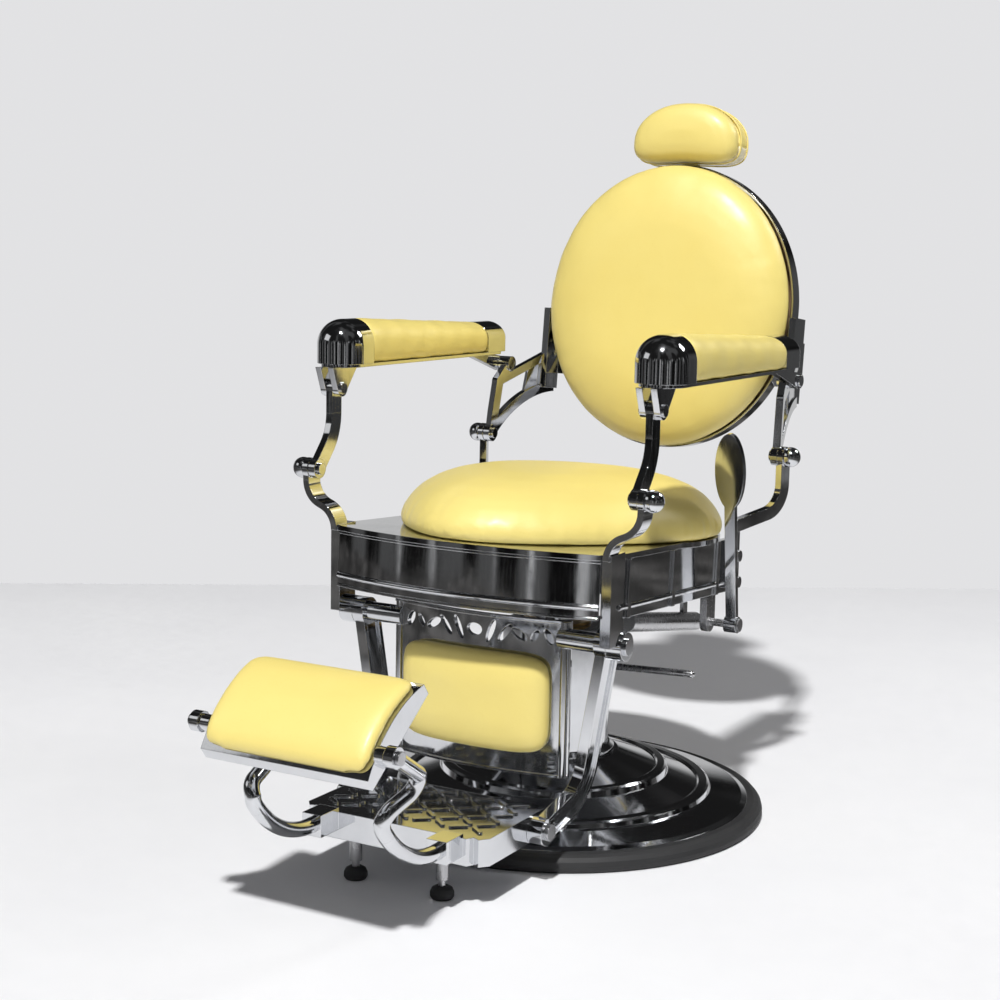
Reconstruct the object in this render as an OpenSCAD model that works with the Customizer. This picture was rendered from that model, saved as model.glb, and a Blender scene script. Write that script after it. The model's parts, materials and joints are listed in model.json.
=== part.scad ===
// A reclining hydraulic barber chair with round cushions, chromed castings and a flip footrest pad.
// Origin: middle of the round foot, on the floor. +Z is up, the chair faces -Y, +X is the sitter's left.

/* [Base] */
// Diameter over the rubber ring
base_d = 672; // [630:2:720]
// Width of the rubber ring
rubber_w = 24; // [18:1:32]
// Height of the rubber ring
rubber_h = 26; // [20:1:32]
// Thickness of the foot plate
plate_t = 12; // [8:1:16]
// Height of the stepped cover where it meets the column
cover_h = 95; // [85:1:110]
// Wall of the chromed covers
skin_t = 3; // [2:0.5:4]
// Diameter of the fixed column
column_d = 172; // [162:2:186]

/* [Pump] */
// Diameter of the lifting ram
ram_d = 80; // [72:1:84]
// Length of the ram that shows above the column at the lowest position
ram_show_h = 44; // [34:1:54]
// Height of the swivel hub, from the ram's shoulder to the seat carriage
hub_rise = 52; // [44:1:58]
// Wall of the pump cylinder
cylinder_wall = 15; // [12:1:17]
// Depth of the pump lever's pin below the column's top
lever_drop = 65; // [50:1:100]
// Reach of the pump lever from the column's axis
lever_reach = 228; // [160:1:280]
// Diameter of the pump lever's rod
lever_d = 11; // [8:0.5:13]
// Turn of the pump lever round the column from the sitter's left side
lever_turn = 10; // [0:1:20]

/* [Seat frame] */
// Width over the side frames
frame_w = 472; // [460:1:480]
// Distance of the pillars' front faces in front of the swivel axis
frame_front = 292; // [284:1:300]
// Distance of the side panels' rear ends behind the axis
frame_rear = 160; // [156:1:166]
// Height of the seat plane at the pillars
rim_h = 472; // [466:1:478]
// Backward slope of the seat plane, in degrees
seat_pitch = 3.5; // [2:0.1:4.5]
// Bow of the front apron between the pillars
apron_bow = 44; // [34:1:54]
// Height of the side panels and the apron
panel_h = 84; // [78:1:88]
// Thickness of the side panels
panel_t = 12; // [10:0.5:13]
// Thickness of the seat pan
pan_t = 8; // [5:0.5:10]
// How far the seat cushion stands out over the side frames
seat_proud = 17; // [9:1:24]
// Distance of the seat cushion's middle behind the axis
seat_y = 17; // [10:1:24]
// Height of the seat cushion at its crown
seat_crown = 96; // [80:1:104]

/* [Arm linkage] */
// Distance of the front ball bolts behind the pillars' front faces
ball_in = 7; // [4:1:12]
// Rise of the front ball bolts above the seat plane
ball_front_rise = 81; // [76:1:88]
// Distance of the rear ball bolts behind the axis
ball_rear = 239; // [234:1:244]
// Rise of the rear ball bolts above the seat plane's height at the pillars
ball_rear_rise = 91; // [86:1:96]
// Backward lean of the arm links
link_lean = 44; // [38:1:48]
// Rise of the arm links
link_rise = 120; // [114:1:122]
// Distance of the links' inner faces outside the side frames
link_out = 26; // [24:1:28]
// Thickness of the links, lugs and brackets
link_t = 12; // [10:1:13]
// Thickness of the ears that carry the ball bolts
ear_t = 10; // [9:1:12]
// Diameter of the ball heads
ball_d = 32; // [28:1:38]
// Diameter of the pivot pins
pin_d = 12; // [10:0.5:14]

/* [Armrests] */
// Distance of the armrests' middle outside the links' inner faces
arm_out = 7; // [4:1:10]
// Width of the armrests
arm_w = 78; // [72:1:80]
// Rise of the armrests' underside above the links' upper pins
arm_rise = 31; // [27:1:37]
// Height of the armrests' upright sides
arm_skirt = 34; // [26:1:40]
// Distance of the armrests' front tips in front of the links' upper pins
arm_nose = 15; // [9:1:21]
// Length of the armrests' front caps
front_cap_l = 68; // [60:1:76]
// Length of the armrests' rear caps
rear_cap_l = 58; // [46:1:72]
// Distance of the armrests' rear ends in front of their rear pivots
arm_heel = 61; // [53:1:77]

/* [Backrest] */
// Distance of the backrest's middle behind the rear ball bolts
back_behind = 133; // [129:1:139]
// Rise of the backrest's middle above the rear ball bolts
back_rise = 230; // [225:1:237]
// Backward lean of the backrest, in degrees
back_lean = 6; // [4:0.5:8]
// Distance of the back cushion's sides inside the links' inner faces
back_in = 38; // [36:1:42]
// Length of the back cushion
back_l = 486; // [470:1:500]
// Thickness of the back cushion at its crown
back_crown = 84; // [70:1:92]
// Rim of the back shell round the cushion
shell_rim = 3; // [2:0.5:4]
// Width of the headrest
head_w = 198; // [180:1:210]
// Length of the headrest
head_l = 104; // [90:1:110]
// Thickness of the headrest cushion at its crown
head_crown = 48; // [40:1:52]
// Thickness of the padded box behind the headrest cushion
head_box = 35; // [28:1:40]
// Distance of the headrest's middle above the backrest's middle
head_z = 294; // [288:1:304]

/* [Leg rest] */
// Distance of the knee hinge behind the pillars' front faces
knee_in = 48; // [44:1:52]
// Depth of the knee hinge below the seat plane
knee_drop = 137; // [134:1:144]
// Width of the leg arms, front to back
leg_w = 46; // [38:1:50]
// Thickness of the leg arms' flanges
leg_t = 16; // [12:1:18]
// Distance of the calf panel's sides inside the side frames' outer faces
calf_in = 86; // [83:1:96]
// Rise of the calf panel's upper edge above the knee hinge
calf_rise = 25; // [15:1:29]
// Gap between the calf panel's lower edge and the footplate's top
calf_gap = 25; // [21:1:31]
// Distance of the calf panel's front face in front of the knee hinge
calf_out = 18; // [14:1:22]
// Radius of the calf panel's bow
calf_bend = 560; // [500:5:700]
// Width of the calf panel's border at the cushion's sides
calf_side = 25; // [22:1:35]
// Height of the fretwork band above the calf cushion
fret_band_h = 51; // [46:1:58]
// Height of the calf panel's border below the cushion
calf_foot_h = 33; // [28:1:40]
// Thickness of the calf cushion at its crown
calf_crown = 30; // [22:1:34]

/* [Footrest] */
// Distance of the footplate's sides inside the side frames' outer faces
foot_in = 86; // [86:1:96]
// Distance of the footplate's front edge in front of the knee hinge
foot_out = 241; // [234:1:251]
// Distance of the footplate's rear edge in front of the knee hinge
heel_out = 61; // [56:1:68]
// Height of the footplate's underside
foot_low = 62; // [58:1:66]
// Thickness of the footplate
foot_t = 39; // [35:1:43]
// Distance of the S-shaped arms inside the footplate's sides where they leave it
s_in = 48; // [44:1:52]
// Diameter of the S-shaped arms
s_d = 22; // [18:0.5:24]
// Outward lean of the upper half of the S-shaped arms, in degrees
s_lean = 24.5; // [22:0.5:26]
// Gap between the footrest tray's sides and the eyes of the S-shaped arms
rest_side_gap = 14; // [13:1:20]
// Length of the footrest tray
rest_l = 158; // [144:1:166]
// Tilt of the footrest pad as it is parked, in degrees
rest_tilt = 37; // [30:1:45]
// Thickness of the footrest cushion
rest_crown = 18; // [15:1:22]

/* [Hidden] */
$fn = 64;

// Running fit of a pin or a slide, on the radius
fit = 0.05;
// Clearance between pieces that move past each other
gap = 0.5;
// Clearance between round pieces that are fixed together
seat_gap = 0.3;
// Clearance under a cushion that is bowed to its panel
bow_gap = 0.8;
// Overrun of a cut past a face
over = 1;
// Half length of the thin band where a bend meets the next run, and its size as a share of the bar's
seam_l = 0.5;
seam_share = 1.004;

// Colours
chrome = [0.78, 0.79, 0.82];
iron = [0.25, 0.26, 0.28];
steel = [0.62, 0.63, 0.66];
brass = [0.80, 0.65, 0.35];
rubber = [0.07, 0.07, 0.08];
vinyl = [0.98, 0.88, 0.46];
wood = [0.75, 0.60, 0.40];

function unit(a) = [cos(a), sin(a)];
function arc_points(middle, r, a0, a1, n) = [for (i = [0:n]) middle + r * unit(a0 + (a1 - a0) * i / n)];

// A plate drawn in [y, z] that starts at x and is t thick
module side_plate(x, t)
    translate([x, 0, 0]) rotate([90, 0, 90]) linear_extrude(t) children();

// A cylinder along X
module cross_pin(x, at, r, len)
    translate([x, at.x, at.y]) rotate([0, 90, 0]) cylinder(r = r, h = len);

// The same piece on the sitter's left or, mirrored, on the right
module on_side(left)
    if (left) children(); else mirror([1, 0, 0]) children();

module both_sides() {
    children();
    mirror([1, 0, 0]) children();
}

// A bar whose section follows straight runs and turns: each step is [run, turn radius, turn angle]
module bar(steps, i = 0)
    if (i < len(steps)) {
        run = steps[i].x;
        r = steps[i].y;
        a = steps[i].z;
        if (run > 0) rotate([90, 0, 90]) linear_extrude(run) children();
        if (i > 0 && steps[max(i - 1, 0)].z != 0)
            translate([-seam_l, 0, 0]) rotate([90, 0, 90])
                linear_extrude(2 * seam_l) scale(seam_share) children();
        if (a != 0)
            translate([run, 0, 0]) mirror([0, a < 0 ? 1 : 0, 0])
                translate([0, r, 0]) rotate([0, 0, -90])
                    rotate_extrude(angle = abs(a)) translate([r, 0]) children();
        translate([run + r * sin(abs(a)), sign(a) * r * (1 - cos(a)), 0]) rotate([0, 0, a])
            bar(steps, i + 1) children();
    }

// Where such a bar ends, from a start at the origin with heading h
function bar_end(steps, h, i = 0) =
    i >= len(steps) ? [0, 0] :
    let (run = steps[i].x, r = steps[i].y, a = steps[i].z, s = sign(a))
    run * unit(h) + s * r * [sin(h + a) - sin(h), cos(h) - cos(h + a)] + bar_end(steps, h + a, i + 1);

// A soft pad: stacked outlines of a superellipse, drawn in below, bulged at the side and crowned
// profile: [inset, height] pairs as shares of h; bow: radii that it is bent to along x and along y, or 0
// under_shares: sizes of the rings that bend the underside to its panel
// nose_share: how much further the outline reaches towards -y, growing with the square of the distance
cushion_profile_shares = [
    [0.13, 0], [0.05, 0.06], [0.01, 0.18], [0, 0.34], [0.02, 0.48], [0.10, 0.62],
    [0.24, 0.74], [0.45, 0.83], [0.78, 0.90], [1.25, 0.955], [1.9, 0.985],
];
seat_profile_shares = [
    [0.08, 0], [0.02, 0.05], [0, 0.13], [0.01, 0.25], [0.06, 0.38], [0.15, 0.52],
    [0.30, 0.66], [0.52, 0.78], [0.86, 0.88], [1.3, 0.945], [1.85, 0.98],
];
rest_profile_shares = [
    [0.05, 0], [0, 0.08], [0, 0.40], [0.07, 0.58], [0.22, 0.74], [0.50, 0.87], [1.0, 0.95], [1.8, 0.985],
];
thin_profile_shares = [
    [0.12, 0], [0.03, 0.10], [0, 0.28], [0.04, 0.48], [0.17, 0.66], [0.42, 0.80], [0.85, 0.91], [1.5, 0.97],
];
arm_profile_shares = [
    [0.035, 0], [0.005, 0.06], [0, 0.2], [0, 0.42], [0.03, 0.57], [0.10, 0.72], [0.20, 0.84],
    [0.33, 0.93], [0.45, 0.98],
];
bow_ring_shares = [0.25, 0.5, 0.75];
// How far the points of an outline crowd into its corners
corner_share = 0.35;
function outline(a, b, power, t) =
    let (
        c = abs(cos(t)), d = abs(sin(t)),
        u = c + corner_share * (pow(c, 2 / power) - c), v = d + corner_share * (pow(d, 2 / power) - d),
        r = pow(pow(u, power) + pow(v, power), -1 / power)
    )
    [a * r * u * sign(cos(t)), b * r * v * sign(sin(t))];
module pad(a, b, h, power, profile, bow = [0, 0], end_share = 1, sides = 48, taper_share = 0,
    under_shares = [], nose_share = 0) {
    nosed = function (p, b) [p.x, p.y < 0 ? p.y * (1 + nose_share * pow(p.y / b, 2)) : p.y];
    rows = len(under_shares) + len(profile);
    sag = function (r, v) r > 0 ? r - sqrt(r * r - v * v) : 0;
    drop = function (p) sag(bow.x, p.x) + sag(bow.y, p.y);
    rings = [
        for (share = under_shares) for (k = [0:sides - 1])
            let (p = outline(a * share, b * share, power, 360 * k / sides))
            [p.x, p.y, -drop(p)],
        for (row = profile) for (k = [0:sides - 1])
            let (
                long = b - row.x * h * end_share,
                p = nosed(outline(a - row.x * h, long, power, 360 * k / sides), long)
            )
            [p.x, p.y, row.y * h * (1 - taper_share * (p.y + b) / (2 * b)) - drop(p)],
    ];
    points = concat(rings, [[0, 0, 0], [0, 0, h * (1 - taper_share / 2)]]);
    walls = [
        for (j = [0:rows - 2]) for (k = [0:sides - 1])
            let (n = (k + 1) % sides, low = j * sides, high = low + sides)
            each [[low + k, high + k, high + n], [low + k, high + n, low + n]],
    ];
    floor_faces = [for (k = [0:sides - 1]) [rows * sides, k, (k + 1) % sides]];
    top = (rows - 1) * sides;
    crown_faces = [for (k = [0:sides - 1]) [rows * sides + 1, top + (k + 1) % sides, top + k]];
    polyhedron(points, concat(walls, floor_faces, crown_faces), convexity = 4);
}

// Places that hang on the seat frame, from the seat plane down to the knee and up to the back
carriage_drop = 76;
carriage_z = rim_h - carriage_drop;
ram_h = carriage_z - hub_rise;
column_h = ram_h - ram_show_h;
lever_h = column_h - lever_drop;
ball_front = frame_front - ball_in;
ball_front_h = rim_h + ball_front_rise;
ball_rear_h = rim_h + ball_rear_rise;
link_x = frame_w / 2 + link_out;
arm_x = link_x + arm_out;
seat_d = frame_w + 2 * seat_proud;
back_w = 2 * (link_x - back_in);
calf_w = frame_w - 2 * calf_in;
calf_pad_w = calf_w - 2 * calf_side;
foot_w = frame_w - 2 * foot_in;
s_x = foot_w / 2 - s_in;
arm_h = ball_front_h + link_rise + arm_rise;
arm_front = ball_front - link_lean + arm_nose;
pad_front = arm_front - front_cap_l;
arm_rear = ball_rear + link_lean - arm_heel;
pad_rear = arm_rear - rear_cap_l;
back_y = ball_rear + back_behind;
back_h = ball_rear_h + back_rise;
knee_y = frame_front - knee_in;
knee_h = rim_h - knee_drop;
calf_y = knee_y + calf_out;
foot_front = knee_y + foot_out;
foot_rear = knee_y + heel_out;
foot_top_h = foot_low + foot_t;
calf_top_h = knee_h + calf_rise;
calf_low = foot_top_h + calf_gap;
calf_pad_l = calf_top_h - calf_low - fret_band_h - calf_foot_h;

// Base

ring_r = base_d / 2 - rubber_w;
plate_r = ring_r - seat_gap;
ring_shares = [[0, 0], [0.84, 0], [0.97, 0.16], [1, 0.38], [0.93, 0.64], [0.72, 0.86], [0.42, 0.98], [0, 1]];

module base_plate() color(iron)
    cylinder(r = plate_r, h = plate_t, $fn = 120);

module rubber_ring() color(rubber)
    rotate_extrude($fn = 120)
        polygon([for (p = ring_shares) [ring_r + p.x * rubber_w, p.y * rubber_h]]);

// Steps of the cover, as shares of its radius and of its rise over the foot plate
cover_shares = [
    [1, 0], [1, 0.17], [0.97, 0.215], [0.81, 0.33], [0.803, 0.41], [0.79, 0.44], [0.75, 0.45],
    [0.74, 0.42], [0.59, 0.62], [0.582, 0.73], [0.57, 0.765], [0.535, 0.775], [0.525, 0.74],
    [0.33, 1], [0.295, 1],
];
cover_rise = cover_h - plate_t;
function cover_point(p, wall) = [plate_r * p.x - wall, max(plate_t, plate_t + cover_rise * p.y - wall)];
cover_hole_r = plate_r * cover_shares[len(cover_shares) - 1].x - skin_t;

module base_cover() color(chrome)
    rotate_extrude($fn = 120)
        polygon(concat(
            [for (p = cover_shares) cover_point(p, 0)],
            [for (i = [len(cover_shares) - 1:-1:0]) cover_point(cover_shares[i], skin_t)]));

column_r = column_d / 2;
collar_h = 12;
collar_r = plate_r * cover_shares[len(cover_shares) - 1].x + collar_h / 3;
ram_r = ram_d / 2;
cylinder_r = ram_r + cylinder_wall;
bush_flange = 5;
bush_r = ram_r + cylinder_wall * 2 / 3;

// Pump lever: its pin sits between two cheeks on the cylinder
lever_r = lever_d / 2;
eye_wall = 3.5;
eye_r = lever_r + eye_wall;
eye_t = 8;
pin_reach = cylinder_r + eye_r + over;
cheek_t = 6;
pump_pin_r = 4;
pump_swing = 15;
slot_w = lever_d + 4 * gap;
slot_drop = (column_r - pin_reach) * tan(pump_swing) + lever_r + 2 * gap;
slot_rise = lever_r + 2 * gap;

module at_pump() rotate([0, 0, lever_turn]) translate([pin_reach, 0, lever_h]) children();

module column_cover() color(chrome)
    difference() {
        rotate_extrude($fn = 96)
            polygon([
                [column_r - skin_t, plate_t], [column_r, plate_t], [column_r, cover_h],
                [collar_r, cover_h], [collar_r, cover_h + collar_h / 2],
                [column_r + skin_t, cover_h + collar_h], [column_r, cover_h + collar_h],
                [column_r, column_h - skin_t], [column_r - skin_t, column_h],
                [cylinder_r + seat_gap, column_h], [cylinder_r + seat_gap, column_h - skin_t],
                [column_r - skin_t, column_h - skin_t],
            ]);
        rotate([0, 0, lever_turn])
            translate([column_r - 2 * skin_t, -slot_w / 2, lever_h - slot_drop])
                cube([4 * skin_t, slot_w, slot_drop + slot_rise]);
    }

module pump_cylinder() color(iron) {
    cheek_reach = pin_reach + eye_r - ram_r - 2 * over;
    difference() {
        union() {
            translate([0, 0, plate_t]) cylinder(r = cylinder_r, h = column_h - plate_t);
            translate([0, 0, plate_t]) cylinder(r = cylinder_r + cylinder_wall, h = plate_t);
            at_pump() for (s = [-1, 1])
                translate([eye_r - cheek_reach, s * (eye_t / 2 + gap) + (s < 0 ? -cheek_t : 0), -eye_r])
                    cube([cheek_reach, cheek_t, 2 * eye_r]);
        }
        translate([0, 0, 2 * plate_t]) cylinder(r = ram_r + over, h = column_h);
        translate([0, 0, column_h - bush_r + bush_flange]) cylinder(r = bush_r, h = column_h);
        at_pump() rotate([90, 0, 0]) cylinder(r = pump_pin_r, h = 4 * eye_t, center = true);
    }
}

module cylinder_bush() color(brass)
    difference() {
        union() {
            translate([0, 0, column_h - bush_r + bush_flange]) cylinder(r = bush_r, h = bush_r - bush_flange);
            translate([0, 0, column_h]) cylinder(r = cylinder_r - over, h = bush_flange);
        }
        cylinder(r = ram_r + fit, h = 2 * column_h);
    }

base_bolts_n = 6;
base_bolt_r = 5;
module base_bolts() color(steel)
    for (i = [0:base_bolts_n - 1])
        rotate([0, 0, 360 * (i + 0.5) / base_bolts_n])
            translate([cylinder_r + cylinder_wall / 2, 0, 2 * plate_t])
                cylinder(r = base_bolt_r, h = base_bolt_r);

module pump_pin() color(steel)
    at_pump() rotate([90, 0, 0])
        cylinder(r = pump_pin_r, h = eye_t + 2 * gap + 2 * cheek_t, center = true);

module pump_lever() color(steel)
    at_pump() difference() {
        rod_run = lever_reach - pin_reach - lever_r;
        union() {
            rotate([90, 0, 0]) cylinder(r = eye_r, h = eye_t, center = true);
            rotate([0, 90, 0]) cylinder(r = lever_r * 0.7, h = eye_r + lever_r);
            translate([eye_r + lever_r / 2, 0, 0]) rotate([0, 90, 0])
                cylinder(r = lever_r, h = rod_run - eye_r - lever_r / 2);
            translate([rod_run, 0, 0]) sphere(r = lever_r);
        }
        rotate([90, 0, 0]) cylinder(r = pump_pin_r + fit, h = 2 * eye_t, center = true);
    }

// Lift and swivel

spindle_r = ram_r * 0.65;
hub_wall = 12;
hub_r = ram_r + hub_wall;
hub_flange_r = 95;
hub_flange_t = 12;
carriage_t = 14;
spindle_h = carriage_z - ram_h - hub_flange_t / 2;

module pump_ram() color(chrome) {
    translate([0, 0, 3 * plate_t]) cylinder(r = ram_r, h = ram_h - 3 * plate_t);
    translate([0, 0, ram_h - over]) cylinder(r = spindle_r, h = spindle_h + over);
}

module swivel_hub() color(iron)
    difference() {
        union() {
            translate([0, 0, ram_h + seat_gap]) cylinder(r = hub_r, h = carriage_z - ram_h - seat_gap);
            translate([0, 0, carriage_z - hub_flange_t]) cylinder(r = hub_flange_r, h = hub_flange_t);
        }
        translate([0, 0, ram_h]) cylinder(r = spindle_r + fit, h = spindle_h + seat_gap);
    }

// Seat frame

panel_x = frame_w / 2 - panel_t;
pillar_t = 16;
pillar_w = 42;
pillar_x = frame_w / 2 - pillar_t;
knee_r = 21;
knee_lug_t = 24;
knee_eye_t = 16;
knee_pin_r = 8;
knee_at = [-knee_y, knee_h];
knee_boss = 4;
knee_lug_x = frame_w / 2 + knee_boss - knee_lug_t;
knee_eye_x = knee_lug_x - gap - knee_eye_t;
// Inner boss of the leg arms, proud of their sloping bars
knee_boss_in = 3;

// The seat plane slopes down to the rear from the pillars' front faces
module on_seat_plane()
    translate([0, -frame_front, rim_h]) rotate([-seat_pitch, 0, 0]) translate([0, frame_front, 0]) children();

module seat_carriage() color(iron)
    translate([0, 0, carriage_z]) linear_extrude(carriage_t)
        polygon([
            [-panel_x, -frame_front * 0.62], [-hub_flange_r, -frame_front * 0.75],
            [hub_flange_r, -frame_front * 0.75], [panel_x, -frame_front * 0.62],
            [panel_x, -hub_flange_r], [hub_flange_r * 1.4, 0], [panel_x, hub_flange_r * 0.6],
            [panel_x, frame_rear * 0.85], [-panel_x, frame_rear * 0.85],
            [-panel_x, hub_flange_r * 0.6], [-hub_flange_r * 1.4, 0], [-panel_x, -hub_flange_r],
        ]);

front_ball = [-ball_front, ball_front_h];
rear_ball = [ball_rear, ball_rear_h];
pin_r = pin_d / 2;
ear_eye_r = 16;
ear_w = 30;
ear_back = 3;
ear_bend = 38;
ear_x = link_x + link_t + gap;
ear_shift = ear_x + ear_t / 2 - frame_w / 2 + pillar_t / 2;
ear_turn = acos(1 - ear_shift / (2 * ear_bend));
ear_root = 8;
ear_foot_h = rim_h - ear_root;
ear_steps = [
    [0, ear_bend, -ear_turn], [0, ear_bend, ear_turn],
    [ball_front_h - ear_foot_h - 2 * ear_bend * sin(ear_turn), 0, 0],
];
rib_w = 10;
rib_t = 4;
bead_r = 4;
post_x = frame_w / 2 + seat_gap;
// Depth of the panels' and the apron's upper edges below the seat plane
rim_drop = pan_t + fit;
post_t = 12;
post_w = 20;
post_in = 26;
post_y = frame_rear - post_in;
bead_run = frame_front + post_y - pillar_w * 0.7 - post_w;
post_bolt_r = 4;
post_head_r = 9;
post_head_t = 6;
post_bolt_drops = [102, 60];
post_bolt_h = [for (d = post_bolt_drops) rim_h - d];
lever_pin_y = 66;
lever_pin_drop = 156;
lever_pin_at = [lever_pin_y, rim_h - lever_pin_drop];
lever_pin_r = 6;

module post_bolt_holes(x, t)
    for (h = post_bolt_h) cross_pin(x, [post_y, h], post_bolt_r, t);

module side_frame(left) color(chrome) on_side(left)
    difference() {
        union() {
            on_seat_plane() {
                translate([panel_x, -frame_front + pillar_w * 0.7, -panel_h - rim_drop])
                    cube([panel_t, frame_rear + frame_front - pillar_w * 0.7, panel_h]);
                for (y = [-frame_front + pillar_w + rib_w, -frame_front * 0.3, frame_rear * 0.5])
                    translate([panel_x + panel_t, y, -panel_h - rim_drop]) cube([rib_t, rib_w, panel_h]);
                translate([panel_x + panel_t, -frame_front + pillar_w * 0.7, -panel_h * 0.8 - rim_drop])
                    rotate([-90, 0, 0]) cylinder(r = bead_r, h = bead_run);
            }
            translate([pillar_x, -frame_front, knee_h + knee_r / 4])
                cube([pillar_t, pillar_w, rim_h - knee_h - knee_r / 4]);
            translate([frame_w / 2 - pillar_t / 2, -ball_front + ear_back, ear_foot_h])
                rotate([90, 0, 0]) rotate([0, 0, 90]) bar(ear_steps) square([ear_t, ear_w], center = true);
            cross_pin(ear_x, front_ball, ear_eye_r, ear_t);
            cross_pin(knee_lug_x, knee_at, knee_r, knee_lug_t);
        }
        cross_pin(0, front_ball, pin_r, frame_w);
        cross_pin(0, knee_at, knee_pin_r, frame_w);
        post_bolt_holes(panel_x - over, panel_t + rib_t + 2 * over);
    }

apron_t = 6;
apron_half = pillar_x - seat_gap;
apron_r = (pow(pillar_x, 2) + pow(apron_bow, 2)) / (2 * apron_bow);
apron_angle = 2 * asin(pillar_x / apron_r);

module front_apron() color(chrome)
    on_seat_plane() intersection() {
        translate([0, -frame_front - apron_bow + apron_r, 0]) rotate([0, 0, -90 - apron_angle / 2])
            rotate_extrude(angle = apron_angle, $fn = 240) {
                translate([apron_r - apron_t, -panel_h - rim_drop]) square([apron_t, panel_h]);
                translate([apron_r, -panel_h * 0.79 - rim_drop]) circle(r = bead_r);
                translate([apron_r - apron_t, -panel_h - rim_drop]) square([apron_t + bead_r / 2, bead_r]);
                translate([apron_r - apron_t, -rim_drop - bead_r]) square([apron_t + bead_r / 2, bead_r]);
            }
        translate([-apron_half, -frame_front - 2 * apron_bow, -2 * panel_h])
            cube([2 * apron_half, frame_front, 2 * panel_h]);
    }

seat_r = seat_d / 2;
pan_inset = 6;
pan_r = seat_r - pan_inset;
pan_lip = 4;
module seat_pan() color(chrome)
    on_seat_plane() translate([0, 0, -pan_t]) difference() {
        linear_extrude(pan_t) {
            translate([0, seat_y]) circle(r = pan_r, $fn = 120);
            translate([-frame_w / 2, -frame_front]) square([frame_w, frame_front + frame_rear * 0.5]);
            intersection() {
                translate([0, -frame_front - apron_bow + apron_r]) circle(r = apron_r + pan_lip, $fn = 240);
                translate([-apron_half, -frame_front - 2 * apron_bow]) square([2 * apron_half, frame_front]);
            }
        }
        for (s = [-1, 1])
            translate([s > 0 ? apron_half : -apron_half - frame_w, -frame_front - apron_bow, -over])
                cube([frame_w, apron_bow + pillar_w + over, pan_t + 2 * over]);
    }

// The cushion reaches forward to the apron
seat_nose_share = 0.36;
module seat_cushion() color(vinyl)
    on_seat_plane() translate([0, seat_y, 0])
        pad(seat_r, seat_r, seat_crown, 2, seat_profile_shares, sides = 56, nose_share = seat_nose_share);

// Rear post: down from the rear ball, forward and inward, and on to a foot bolted to the side panel
post_drop = 46;
post_bend = 45;
post_turn = 80;
post_foot_x = post_x + post_t / 2;
post_top_x = ear_x + ear_t / 2;
post_toe = atan((post_top_x - post_foot_x) / (ball_rear - post_y));
post_reach = (ball_rear - post_y) / cos(post_toe);
post_run = (post_reach - post_bend * (1 - cos(post_turn))) / sin(post_turn);
post_steps = [[post_drop, post_bend, -post_turn], [post_run, 0, 0]];
post_foot_h = ball_rear_h + bar_end(post_steps, 270).y;
module rear_post(left) color(chrome) on_side(left)
    difference() {
        union() {
            cross_pin(ear_x, rear_ball, ear_eye_r, ear_t);
            translate([post_top_x, rear_ball.x, rear_ball.y]) rotate([0, 0, -post_toe]) rotate([90, 0, 90])
                rotate([0, 0, -90]) bar(post_steps) square([post_w, post_t], center = true);
            translate([post_x, post_y - post_w / 2, post_bolt_h[0] - post_w / 2])
                cube([post_t, post_w, post_foot_h - post_bolt_h[0] + post_w / 2]);
            cross_pin(post_x, [post_y, post_foot_h], post_w / 2, post_t);
        }
        cross_pin(0, rear_ball, pin_r, frame_w);
        cross_pin(0, rear_ball, ear_eye_r + gap, ear_x);
        cross_pin(head_x, rear_ball, ball_r + gap, frame_w);
        post_bolt_holes(post_x - over, post_t + 2 * over);
        translate([-frame_w, -frame_w, 0]) cube([frame_w + post_x, 2 * frame_w, 2 * ball_rear_h]);
    }

module post_bolts() color(steel) both_sides()
    for (h = post_bolt_h) {
        cross_pin(panel_x, [post_y, h], post_bolt_r, post_x + post_t - panel_x);
        cross_pin(post_x + post_t, [post_y, h], post_head_r, post_head_t);
    }

ball_r = ball_d / 2;
head_x = ear_x + ear_t;
ball_x = head_x + ball_r * 0.5;
collar_t = 4;
module ball_bolts() color(chrome) both_sides()
    for (at = [front_ball, rear_ball]) {
        cross_pin(link_x - gap, at, pin_r, head_x - link_x + gap + over);
        cross_pin(link_x - gap - collar_t, at, pin_r * 1.5, collar_t);
        intersection() {
            translate([ball_x, at.x, at.y]) sphere(r = ball_r);
            cross_pin(head_x, at, ball_r + over, 2 * ball_r);
        }
    }

module knee_pins() color(chrome) both_sides() {
    cross_pin(knee_eye_x, knee_at, knee_pin_r, knee_lug_x + knee_lug_t - knee_eye_x);
    cross_pin(knee_lug_x + knee_lug_t, knee_at, knee_pin_r * 1.6, knee_pin_r / 2);
}

// Recline lever and its bracket, on the sitter's left only
lever_out = 36;
lever_x = frame_w / 2 + lever_out;
lever_t = 10;
lever_eye_r = 13;
bracket_wall = 3;
lever_neck = 17;
lever_len = 304;
lever_tip_lean = 7;
paddle_w = 47;
paddle_l = 118;

module lever_bracket() color(steel) {
    x = panel_x;
    side_plate(x, panel_t) {
        translate(lever_pin_at) circle(r = lever_eye_r + bracket_wall);
        translate([lever_pin_at.x - lever_eye_r - bracket_wall, lever_pin_at.y])
            square([2 * (lever_eye_r + bracket_wall), bracket_top - lever_pin_at.y]);
    }
    cross_pin(x + over, lever_pin_at, lever_pin_r, lever_x + lever_eye_r - x - over);
    cross_pin(lever_x + lever_t + gap, lever_pin_at, lever_eye_r * 0.8, lever_pin_r / 2);
}
// Underside of the side panel above the lever's pin, where the bracket ends
bracket_top = rim_h - (frame_front + lever_pin_at.x + 2 * lever_eye_r) * sin(seat_pitch)
    - (panel_h + pan_t) * cos(seat_pitch) - seat_gap;

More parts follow.
